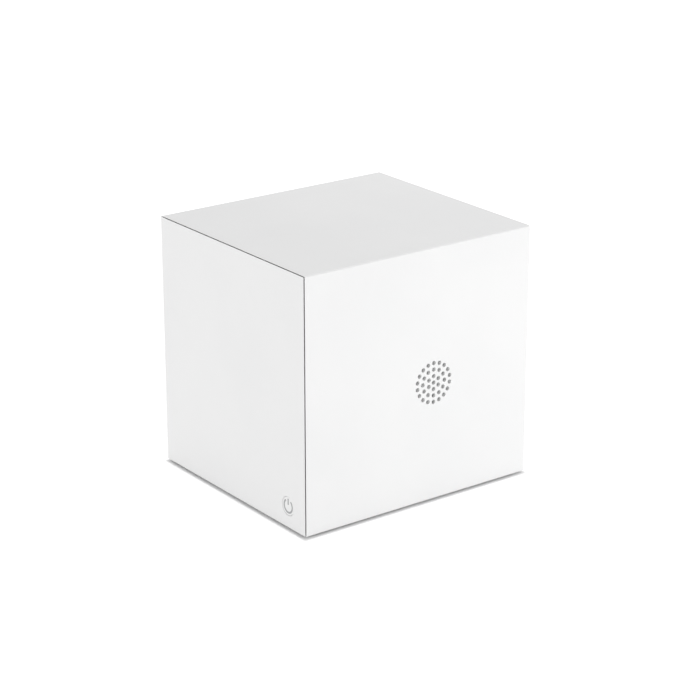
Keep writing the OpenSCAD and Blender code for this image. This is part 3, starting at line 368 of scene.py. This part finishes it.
def felt(name, colour):
    finish = Finish(name)
    place = finish.place()
    fibres = finish.noise(finish.scaled(place, (1, 1, 3)), 0.8 * mm, detail=6.0, roughness=0.75)
    darker = tuple(part * 0.5 for part in colour)
    return finish.surface(
        # the fibres are painted darker where the bump lies low: painted shade between the fibres
        colour=finish.mix(finish.spread(fibres, 0.3, 0.7), darker, colour),
        roughness=0.95 - fibres * 0.1, sheen=0.5, normal=finish.bump(fibres, 0.3 * mm, 0.9))


def pressedPulp(name, colour):
    finish = Finish(name)
    place = finish.place()
    fibres = finish.noise(finish.scaled(place, (1, 2.5, 1)), 0.9 * mm, detail=6.0, roughness=0.7)
    flecks = finish.spread(finish.cells(place, 1.6 * mm), 0.0, 0.25)
    lighter = tuple(min(1.0, part * 1.7) for part in colour)
    # the fibres are painted lighter where the bump stands high, which is painted light on the raised
    # fibres; the light flecks are the pulp's own colour
    return finish.surface(
        colour=finish.mix(fibres * 0.6 + (1 - flecks) * 0.4, colour, lighter),
        roughness=0.72 + fibres * 0.2, normal=finish.bump(fibres, 0.05 * mm, 0.7))


def solderMask(name, colour):
    finish = Finish(name)
    place = finish.place()
    # the copper tracks under the mask are square rings round scattered points
    tracks = finish.add("ShaderNodeTexVoronoi", {"feature": "F1", "distance": "CHEBYCHEV"},
                        {"Vector": place, "Scale": 1 / (3.2 * mm), "Randomness": 0.75})
    track = finish.spread((tracks * 9.0).wave(), 0.15, 0.45)
    dots = 1 - finish.spread(finish.cells(place, 4.1 * mm), 0.07, 0.1)
    lighter = (colour[0] * 1.7, colour[1] * 1.6, colour[2] * 1.6)
    masked = finish.mix(track, colour, lighter)
    return finish.surface(
        colour=finish.mix(dots, masked, (0.72, 0.62, 0.4)), metallic=dots * 0.9, coat=0.5,
        roughness=0.35 + track * 0.08, normal=finish.bump(track + dots, 0.03 * mm, 0.6))


def woundCopper(name, colour):
    finish = Finish(name)
    place = finish.place()
    along = finish.shares(place)[1]
    turns = (along * (2 * math.pi / (0.16 * mm))).wave() * 0.5 + 0.5
    tone = finish.noise(place, 2.5 * mm, detail=2.0)
    # the wire is painted darker in the grooves between its turns, where the bump lies low: painted shade
    # between the turns
    return finish.surface(
        colour=finish.mix(turns, tuple(part * 0.35 for part in colour), colour), metallic=0.9,
        roughness=0.25 + tone * 0.15, normal=finish.bump(turns, 0.05 * mm, 1.0))


def ferrite(name, colour):
    finish = Finish(name)
    place = finish.place()
    crystals = finish.cells(place, 0.5 * mm)
    scuffs = finish.noise(finish.scaled(place, (1, 8, 1)), 3 * mm, detail=5.0, roughness=0.7)
    lighter = tuple(part * 1.8 for part in colour)
    return finish.surface(
        colour=finish.mix(finish.spread(scuffs, 0.45, 0.75), colour, lighter),
        roughness=0.5 + crystals * 0.3, normal=finish.bump(crystals + scuffs, 0.03 * mm, 0.6))


def foilSkin(name, colour):
    finish = Finish(name)
    place = finish.place()
    dents = finish.noise(place, 9 * mm, detail=2.0)
    emboss = finish.cells(place, 0.9 * mm)
    return finish.surface(
        colour=finish.mix(finish.spread(dents, 0.3, 0.7), colour, tuple(part * 0.85 for part in colour)),
        metallic=0.85, roughness=0.34 + emboss * 0.12,
        normal=finish.bump(emboss * 0.3 + dents * 2.0, 0.12 * mm, 0.6))


def sleevedWire(name, colour):
    finish = Finish(name)
    place = finish.place()
    rings = finish.noise(finish.scaled(place, (1, 1, 4)), 0.7 * mm, detail=2.0)
    return finish.surface(
        colour=finish.mix(rings, colour, tuple(part * 0.7 for part in colour)), coat=0.15,
        roughness=0.4 + rings * 0.12, normal=finish.bump(rings, 0.02 * mm, 0.6))


dress(satinShell(whiteShell), "casing_sleeve", "left_side_panel", "right_side_panel", "power_button",
      "volume_up_button", "volume_down_button")

# each further finish: how it is made, what can be changed in it, and the CAD nodes that wear it
finishes = {
    "signGrey": (mouldedPlastic, {"colour": (0.36, 0.365, 0.37), "roughness": 0.5, "depth": 0.004 * mm},
        ["power_symbol"]),
    "sliderGrey": (mouldedPlastic, {"colour": (0.62, 0.62, 0.63)}, ["mic_mute_slider"]),
    "footRubber": (rubber, {"colour": (0.55, 0.555, 0.56)},
        ["foot_front_left", "foot_front_right", "foot_back_left", "foot_back_right"]),
    "blackRubber": (rubber, {"colour": (0.025, 0.025, 0.027)},
        ["driver_surround", "radiator_surround", "wire_grommet"]),
    "labelFilm": (mouldedPlastic, {"colour": (0.74, 0.745, 0.75), "roughness": 0.3,
                                   "depth": 0.002 * mm, "coat": 0.3},
        ["bottom_label"]),
    "boxPlastic": (mouldedPlastic, {"colour": (0.045, 0.046, 0.05), "roughness": 0.55,
                                    "grain": 0.7 * mm, "depth": 0.03 * mm},
        ["acoustic_box_front", "acoustic_box_rear", "outlet_waveguide"]),
    "trayPlastic": (mouldedPlastic, {"colour": (0.06, 0.062, 0.068), "roughness": 0.5,
                                     "grain": 0.6 * mm, "depth": 0.03 * mm},
        ["base_tray"]),
    "switchBlack": (mouldedPlastic, {"colour": (0.02, 0.02, 0.022), "roughness": 0.35, "coat": 0.2},
        ["power_switch", "rear_switches"]),
    "chipBlack": (mouldedPlastic, {"colour": (0.028, 0.028, 0.03), "roughness": 0.55,
                                   "grain": 0.2 * mm},
        ["board_chips"]),
    "connectorIvory": (mouldedPlastic, {"colour": (0.78, 0.74, 0.62), "roughness": 0.4},
        ["board_connectors"]),
    "formerFilm": (mouldedPlastic, {"colour": (0.5, 0.3, 0.1), "roughness": 0.3, "coat": 0.4},
        ["voice_coil_former"]),
    "antennaFilm": (mouldedPlastic, {"colour": (0.42, 0.2, 0.05), "roughness": 0.32, "coat": 0.4},
        ["antenna"]),
    "gasketFoam": (foam, {"colour": (0.06, 0.06, 0.062)},
        ["waveguide_gasket", "box_gasket", "driver_gasket", "mic_gaskets"]),
    "wadding": (felt, {"colour": (0.2, 0.21, 0.22)}, ["damping_pad"]),
    "screwSteel": (platedSteel, {"colour": (0.62, 0.63, 0.64)},
        ["casing_screws", "box_screws", "leg_screws", "driver_screws", "board_screws"]),
    "poleSteel": (platedSteel, {"colour": (0.55, 0.56, 0.57), "roughness": 0.36, "stretch": (8, 1, 1)},
        ["driver_top_plate", "driver_yoke", "radiator_weight"]),
    "socketSteel": (platedSteel, {"colour": (0.66, 0.67, 0.68), "roughness": 0.25,
                                  "stretch": (1, 6, 1)},
        ["charging_socket"]),
    "canSteel": (platedSteel, {"colour": (0.72, 0.72, 0.7), "roughness": 0.28, "stretch": (1, 1, 9)},
        ["shield_cans"]),
    "capacitorCan": (platedSteel, {"colour": (0.64, 0.65, 0.66), "roughness": 0.3,
                                   "stretch": (9, 1, 1)},
        ["board_capacitors"]),
    "bracketAlloy": (platedSteel, {"colour": (0.5, 0.51, 0.53), "roughness": 0.4,
                                   "stretch": (1, 10, 1)},
        ["battery_bracket"]),
    "terminalBrass": (platedSteel, {"colour": (0.75, 0.57, 0.26), "roughness": 0.28},
        ["driver_terminals", "microphones"]),
    "basketPaint": (paintedSteel, {"colour": (0.035, 0.036, 0.04)},
        ["driver_basket", "radiator_frame"]),
    "conePulp": (pressedPulp, {"colour": (0.1, 0.1, 0.108)},
        ["driver_cone", "driver_dust_cap", "radiator_diaphragm"]),
    "coilCopper": (woundCopper, {"colour": (0.72, 0.36, 0.16)}, ["voice_coil"]),
    "spiderCloth": (wovenCloth, {"colour": (0.66, 0.44, 0.12)}, ["driver_spider"]),
    "magnetFerrite": (ferrite, {"colour": (0.06, 0.06, 0.064)}, ["driver_magnet"]),
    "boardMask": (solderMask, {"colour": (0.012, 0.1, 0.045)},
        ["main_board", "button_board", "mic_board"]),
    "cellFoil": (foilSkin, {"colour": (0.66, 0.67, 0.69)}, ["battery_pack"]),
    "redWire": (sleevedWire, {"colour": (0.32, 0.02, 0.02)}, ["internal_wires"]),
    "greyThread": (wovenCloth, {"colour": (0.97, 0.97, 0.97), "thread": 0.3 * mm, "shade": 0.9},
        ["outlet_mesh"]),
    "blackThread": (mouldedPlastic, {"colour": (0.05, 0.05, 0.054), "roughness": 0.4}, ["rear_mesh"]),
    "orangeInk": (mouldedPlastic, {"colour": (0.85, 0.2, 0.02), "roughness": 0.5}, []),
    "contactGold": (platedSteel, {"colour": (0.9, 0.68, 0.3), "roughness": 0.25}, []),
    "resistorGlaze": (mouldedPlastic, {"colour": (0.03, 0.03, 0.035), "roughness": 0.3}, []),
    "tinnedEnds": (platedSteel, {"colour": (0.75, 0.75, 0.74), "roughness": 0.35}, []),
}
made = {}
for name, (make, values, nodes) in finishes.items():
    made[name] = make(name, **values)
    dress(made[name], *nodes)
print("finishes are on")


creaseAngle = 35  # a mesh edge sharper than this, in degrees, stays sharp


def makePiece(name, shape, finish, body="casing", stands=()):
    bmesh.ops.recalc_face_normals(shape, faces=shape.faces)
    mesh = bpy.data.meshes.new(name)
    shape.to_mesh(mesh)
    shape.free()
    mesh.materials.append(made[finish])
    mesh.polygons.foreach_set("use_smooth", [True] * len(mesh.polygons))
    mesh.set_sharp_from_angle(angle=math.radians(creaseAngle))
    thing = bpy.data.objects.new(name, mesh)
    bpy.context.scene.collection.objects.link(thing)
    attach(thing, body)
    if stands:
        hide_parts(*stands)
    return thing


def centreOf(node):
    lowest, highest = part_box(node)
    return (lowest + highest) / 2


def block(shape, spot, size):
    place = Matrix.Translation(spot) @ Matrix.Diagonal((*size, 1))
    bmesh.ops.create_cube(shape, size=1, matrix=place)


def sweep(shape, path, radius, sides=6, closed=False):  # a thread along points, with flat ends
    rings = []
    count = len(path)
    for i, point in enumerate(path):
        ahead = path[(i + 1) % count] if closed else path[min(i + 1, count - 1)]
        behind = path[i - 1] if closed else path[max(i - 1, 0)]
        way = (ahead - behind).normalized()
        side = way.cross(Vector((0, 1, 0)))
        side = side.normalized() if side.length > 0.01 else Vector((1, 0, 0))
        lift = side.cross(way)
        turns = [2 * math.pi * (k + 0.5) / sides for k in range(sides)]
        rings.append([shape.verts.new(point + (side * math.cos(t) + lift * math.sin(t)) * radius)
                      for t in turns])
    for i in range(count if closed else count - 1):
        first, second = rings[i], rings[(i + 1) % count]
        for k in range(sides):
            shape.faces.new((first[k], first[(k + 1) % sides], second[(k + 1) % sides], second[k]))
    if not closed:
        shape.faces.new(rings[0])
        shape.faces.new(reversed(rings[-1]))


# threads that go over and under each other; reach gives half the length of a thread from how far it
# lies off the centre and whether it is level
def weave(shape, centre, reach, pitch, radius, sides=4, stepsPerCrossing=3):
    for level in (False, True):
        i = 0
        while reach(i * pitch, level) > pitch:
            for offset in sorted({i, -i}):
                half = reach(offset * pitch, level)
                steps = max(2, round(2 * half / pitch * stepsPerCrossing))
                sign = (-1) ** (offset + level)
                path = []
                for k in range(steps + 1):
                    along = -half + 2 * half * k / steps
                    rise = radius * sign * math.cos(math.pi * along / pitch)
                    flat = (along, offset * pitch) if level else (offset * pitch, along)
                    path.append(centre + Vector((flat[0], rise, flat[1])))
                sweep(shape, path, radius, sides)
            i += 1


outletWeave = {"pitch": 0.46 * mm, "rim": 0.5 * mm, "lining": 0.05 * mm, "ringPoints": 96}


def weaveOutlet(values):
    lowest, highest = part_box("outlet_mesh")
    centre = centreOf("outlet_mesh")
    outer = (highest.x - lowest.x) / 2
    thick = highest.y - lowest.y - values["lining"]
    thread = thick / 4
    middleY = lowest.y + thick / 2
    shape = bmesh.new()
    inner = outer - values["rim"]
    spot = Vector((centre.x, middleY, centre.z))
    weave(shape, spot, lambda off, level: math.sqrt(max(0, inner ** 2 - off ** 2)),
          values["pitch"], thread)
    turns = [2 * math.pi * i / values["ringPoints"] for i in range(values["ringPoints"])]
    rim = outer - thick / 2
    sweep(shape, [spot + Vector((math.cos(t), 0, math.sin(t))) * rim for t in turns], thick / 2, 8, True)
    makePiece("outletWeave", shape, "greyThread", stands=["outlet_mesh"])
    # a fine dust cloth behind the threads
    shape = bmesh.new()
    spot = Matrix.Translation((centre.x, highest.y - values["lining"] / 2, centre.z))
    bmesh.ops.create_cone(shape, cap_ends=True, segments=values["ringPoints"], radius1=inner,
                          radius2=inner, depth=values["lining"],
                          matrix=spot @ Matrix.Rotation(math.pi / 2, 4, "X"))
    makePiece("outletLining", shape, "greyThread")


rearWeave = {"pitch": 1.05 * mm, "rim": 0.8 * mm, "corner": 2 * mm, "cornerSteps": 6}


def weaveRear(values):
    lowest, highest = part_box("rear_mesh")
    centre = centreOf("rear_mesh")
    half = (highest - lowest) / 2
    wide = half.x - values["rim"]
    tall = half.z - values["rim"]

    def reach(off, level):  # half a thread's length, and nothing past the rim
        if level:
            return wide if abs(off) < tall else 0
        return tall if abs(off) < wide else 0

    shape = bmesh.new()
    weave(shape, centre, reach, values["pitch"], half.y / 2)
    corner = values["corner"]
    bend = corner - half.y
    path = []
    for turn, (signX, signZ) in enumerate(((1, 1), (-1, 1), (-1, -1), (1, -1))):
        for step in range(values["cornerSteps"] + 1):
            angle = math.pi / 2 * (turn + step / values["cornerSteps"])
            path.append(centre + Vector((signX * (half.x - corner) + bend * math.cos(angle), 0,
                                         signZ * (half.z - corner) + bend * math.sin(angle))))
    sweep(shape, path, half.y, 8, True)
    makePiece("rearWeave", shape, "blackThread", stands=["rear_mesh"])


weaveOutlet(outletWeave)
weaveRear(rearWeave)
print("meshes are woven")


# the outline gives radius and height, from the middle out and back to it
def revolve(shape, outline, centre, segments=72):
    rings = []
    for radius, height in outline:
        if radius == 0:
            rings.append([shape.verts.new(centre + Vector((0, 0, height)))])
            continue
        turns = [2 * math.pi * i / segments for i in range(segments)]
        ring = [Vector((radius * math.cos(turn), radius * math.sin(turn), height)) for turn in turns]
        rings.append([shape.verts.new(centre + point) for point in ring])
    for first, second in zip(rings, rings[1:]):
        for i in range(segments):
            j = (i + 1) % segments
            corners = [first[i % len(first)], first[j % len(first)],
                       second[j % len(second)], second[i % len(second)]]
            shape.faces.new(list(dict.fromkeys(corners)))


foot = {"ridges": 5, "ridgeDepth": 0.15 * mm, "groove": 2.2 * mm, "grooveWidth": 0.8 * mm,
        "grooveDepth": 0.3 * mm, "grooveCorner": 0.05 * mm, "corner": 0.45 * mm, "cornerSteps": 6}


def footOutline(values, radius, height):
    deep, nick, corner = values["ridgeDepth"], values["grooveCorner"], values["corner"]
    outer = radius - values["groove"]
    inner = outer - values["grooveWidth"]
    step = inner / (values["ridges"] + 0.5)
    outline = [(0, deep)]
    for i in range(values["ridges"]):
        start = step * (i + 0.5)
        outline += [(start, deep), (start + step * 0.15, 0), (start + step * 0.6, 0),
                    (start + step * 0.75, deep)]
    outline += [(inner - step * 0.25, 0), (inner - nick, 0), (inner, nick)]
    outline += [(inner, values["grooveDepth"]), (outer, values["grooveDepth"])]
    outline += [(outer, nick), (outer + nick, 0)]
    for i in range(values["cornerSteps"] + 1):
        angle = math.pi / 2 * i / values["cornerSteps"]
        outline.append((radius - corner + corner * math.sin(angle), corner - corner * math.cos(angle)))
    return outline + [(radius, height), (0, height)]


def makeFeet(values):
    for place in ("front_left", "front_right", "back_left", "back_right"):
        lowest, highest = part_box("foot_" + place)
        centre = centreOf("foot_" + place)
        centre.z = lowest.z
        shape = bmesh.new()
        radius = (highest.x - lowest.x) / 2
        revolve(shape, footOutline(values, radius, highest.z - lowest.z), centre)
        first, second = place.split("_")
        makePiece("foot" + first.capitalize() + second.capitalize(), shape, "footRubber",
                  stands=["foot_" + place])


makeFeet(foot)
print("feet are moulded")


# a round-ended ink stroke on a face that looks along Y
def bar(shape, start, end, width, face, rise, roundSteps=6):
    way = (end - start).normalized() if (end - start).length > 1e-6 else Vector((1, 0))
    side = Vector((-way.y, way.x))
    outline = []
    for centre, sign in ((end, 1), (start, -1)):
        for i in range(roundSteps + 1):
            angle = math.pi * i / roundSteps - math.pi / 2
            outline.append(centre + (way * math.cos(angle) + side * math.sin(angle)) * sign * width / 2)
    inner = [shape.verts.new((point.x, face, point.y)) for point in outline]
    outer = [shape.verts.new((point.x, face + rise, point.y)) for point in outline]
    shape.faces.new(inner)
    shape.faces.new(reversed(outer))
    for i in range(len(outline)):
        j = (i + 1) % len(outline)
        shape.faces.new((inner[i], inner[j], outer[j], outer[i]))


def strokes(shape, points, width, face, rise):
    for start, end in zip(points, points[1:]):
        bar(shape, start, end, width, face, rise)


def onFace(spot, points):  # points in millimetres round a spot, as level and upright distances
    return [spot + Vector(point) * mm for point in points]


buttonSign = {"stroke": 0.32 * mm, "size": 1.1 * mm, "rise": 0.02 * mm}


def printButtonSigns(values):
    stroke, size, rise = values["stroke"], values["size"], values["rise"]
    for node, name in (("volume_up_button", "plusSign"), ("volume_down_button", "minusSign")):
        centre = centreOf(node)
        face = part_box(node)[1].y
        spot = Vector((centre.x, centre.z))
        level = Vector((size, 0))
        shape = bmesh.new()
        bar(shape, spot - level, spot + level, stroke, face, rise)
        if name == "plusSign":
            for way in (-1, 1):
                near = spot + Vector((0, way * stroke / 2))
                bar(shape, near, spot + Vector((0, way * size)), stroke, face, rise)
        makePiece(name, shape, "signGrey", node)


# the line points are in millimetres from the middle of each sign
rearSigns = {"stroke": 0.32 * mm, "thinStroke": 0.24 * mm, "rise": 0.02 * mm,
             "overSlider": 3.6 * mm, "capsule": ((0, -0.4), (0, 0.9)), "capsuleWidth": 1.1 * mm,
             "cup": 1.15, "cupHeight": -0.4, "cupSteps": 12, "stem": ((0, -1.6), (0, -2.2)),
             "base": ((-0.7, -2.25), (0.7, -2.25)),
             "underSocket": 3.4 * mm, "bolt": ((0.45, 1.6), (-0.55, -0.1), (0.5, 0.1), (-0.4, -1.6))}


def printRearSigns(values):
    thin, rise = values["thinStroke"], values["rise"]
    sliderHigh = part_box("mic_mute_slider")[1].z
    spot = Vector((centreOf("mic_mute_slider").x, sliderHigh + values["overSlider"]))
    turns = [math.pi + math.pi * i / values["cupSteps"] for i in range(values["cupSteps"] + 1)]
    cup = [(math.cos(turn) * values["cup"], math.sin(turn) * values["cup"] + values["cupHeight"])
           for turn in turns]
    shape = bmesh.new()
    strokes(shape, onFace(spot, values["capsule"]), values["capsuleWidth"], high.y, rise)
    for line in (cup, values["stem"], values["base"]):
        strokes(shape, onFace(spot, line), thin, high.y, rise)
    makePiece("microphoneSign", shape, "signGrey")
    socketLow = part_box("charging_socket")[0].z
    spot = Vector((centreOf("charging_socket").x, socketLow - values["underSocket"]))
    shape = bmesh.new()
    strokes(shape, onFace(spot, values["bolt"]), values["stroke"], high.y, rise)
    makePiece("chargingSign", shape, "signGrey")


muteMark = {"width": 2.4 * mm, "height": 1.5 * mm, "rise": 0.03 * mm, "thumbHalf": 2.25 * mm,
            "plateDepth": 2.7 * mm}


def paintMuteMark(values):  # shows under the slider when the microphones are off
    centre = centreOf("mic_mute_slider")
    rise = values["rise"]
    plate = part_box("casing_sleeve")[1].y - values["plateDepth"]
    height = centre.z - values["thumbHalf"] - values["height"] / 2
    shape = bmesh.new()
    block(shape, (centre.x, plate + rise / 2, height), (values["width"], rise, values["height"]))
    bmesh.ops.bevel(shape, geom=shape.edges, offset=rise / 4, segments=2, affect="EDGES")
    makePiece("muteMark", shape, "orangeInk", "mic_mute_slider")


contacts = {"count": 12, "pitch": 0.5 * mm, "width": 0.26 * mm, "length": 3.2 * mm, "rise": 0.02 * mm,
            "inset": 0.35 * mm, "tongue": (0.78 * mm, 5.3 * mm, 6.78 * mm), "tongueCorner": 0.12 * mm,
            "mouth": 0.86 * mm}


def layContacts(values):
    centre = centreOf("charging_socket")
    thick, long, wide = values["tongue"]
    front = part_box("charging_socket")[1].y - values["mouth"]
    shape = bmesh.new()
    block(shape, (centre.x, front - long / 2, centre.z), values["tongue"])
    bmesh.ops.bevel(shape, geom=shape.edges, offset=values["tongueCorner"], segments=3, affect="EDGES")
    makePiece("socketTongue", shape, "switchBlack")
    length, rise = values["length"], values["rise"]
    middleY = front - values["inset"] - length / 2
    shape = bmesh.new()
    for side in (-1, 1):
        for i in range(values["count"]):
            offset = (i - (values["count"] - 1) / 2) * values["pitch"]
            spot = (centre.x + side * (thick + rise) / 2, middleY, centre.z + offset)
            block(shape, spot, (rise, length, values["width"]))
    bmesh.ops.bevel(shape, geom=shape.edges, offset=rise / 4, segments=1, affect="EDGES")
    makePiece("socketContacts", shape, "contactGold")


labelPrint = {"stroke": 0.25 * mm, "rise": 0.02 * mm, "margin": 2 * mm, "rows": 4, "rowPitch": 2.6 * mm,
              "endGap": 0.05, "oddRowGap": 0.25, "squares": (1.4 * mm, 2.6 * mm),
              "squaresInset": (4.2 * mm, 3.3 * mm)}


def printLabel(values):
    lowest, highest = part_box("bottom_label")
    stroke, rise, margin = values["stroke"], values["rise"], values["margin"]
    left, right = lowest.x + margin, highest.x - margin
    front, back = lowest.y + margin, highest.y - margin
    corners = ((left, front), (right, front), (right, back), (left, back), (left, front))
    shape = bmesh.new()
    strokes(shape, [Vector(corner) for corner in corners], stroke, 0, rise)
    for row in range(values["rows"]):  # plain rules, to be written on, and every second one shorter
        height = back - margin - (row + 0.5) * values["rowPitch"]
        short = (right - left) * (values["endGap"] + values["oddRowGap"] * (row % 2))
        strokes(shape, [Vector((left + margin, height)), Vector((right - margin - short, height))],
                stroke, 0, rise)
    middleSpot = Vector((right - values["squaresInset"][0], front + values["squaresInset"][1]))
    for size in values["squares"]:  # one in the other: a doubly insulated appliance
        square = [middleSpot + Vector(point) * size / 2
                  for point in ((-1, -1), (1, -1), (1, 1), (-1, 1), (-1, -1))]
        strokes(shape, square, stroke, 0, rise)
    # the strokes were drawn facing Y: they are laid down to face the floor
    for vertex in shape.verts:
        vertex.co = Vector((vertex.co.x, vertex.co.z, lowest.z - vertex.co.y))
    makePiece("labelPrint", shape, "signGrey")


printButtonSigns(buttonSign)
printRearSigns(rearSigns)
paintMuteMark(muteMark)
layContacts(contacts)
printLabel(labelPrint)
print("signs and contacts are on")


smallParts = {"size": (1.0 * mm, 0.5 * mm, 0.35 * mm), "end": 0.2 * mm, "endSwell": 0.03 * mm,
              "corner": 0.03 * mm, "rows": 9, "columns": 2, "pitch": (2.2 * mm, 3.4 * mm),
              "inset": 3.2 * mm}


def placeSmallParts(values):  # little resistors on the main board, each with two tinned ends
    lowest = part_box("main_board")[0]
    middleZ = centreOf("main_board").z
    length, width, height = values["size"]
    end, swell = values["end"], values["endSwell"]
    bodies, ends = bmesh.new(), bmesh.new()
    pieces = ((bodies, 0, length - 2 * end, 0), (ends, (length - end) / 2, end, swell),
              (ends, (end - length) / 2, end, swell))
    for column in range(values["columns"]):
        for row in range(values["rows"]):
            y = lowest.y + values["inset"] + column * values["pitch"][0]
            z = middleZ + (row - (values["rows"] - 1) / 2) * values["pitch"][1]
            for shape, offset, long, more in pieces:
                spot = (lowest.x - (height + more) / 2, y, z + offset)
                block(shape, spot, (height + more, width + more, long))
    for shape in (bodies, ends):
        bmesh.ops.bevel(shape, geom=shape.edges, offset=values["corner"], segments=2, affect="EDGES")
    makePiece("resistorBodies", bodies, "resistorGlaze")
    makePiece("resistorEnds", ends, "tinnedEnds")


placeSmallParts(smallParts)
print("small parts are on the board")


softEdge = {"width": 0.12 * mm, "steps": 2, "sharperThan": 40, "weld": 0.001 * mm}


def softenEdges(values, *nodes):  # the moulded edges catch a thin line of light
    for name in nodes:
        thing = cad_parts[name]
        weld = thing.modifiers.new("weld", "WELD")
        weld.merge_threshold = values["weld"]
        bevel = thing.modifiers.new("softEdge", "BEVEL")
        bevel.width = values["width"]
        bevel.segments = values["steps"]
        bevel.limit_method = "ANGLE"
        bevel.angle_limit = math.radians(values["sharperThan"])
        bevel.harden_normals = False


softenEdges(softEdge, "left_side_panel", "right_side_panel")
print("edges are softened")
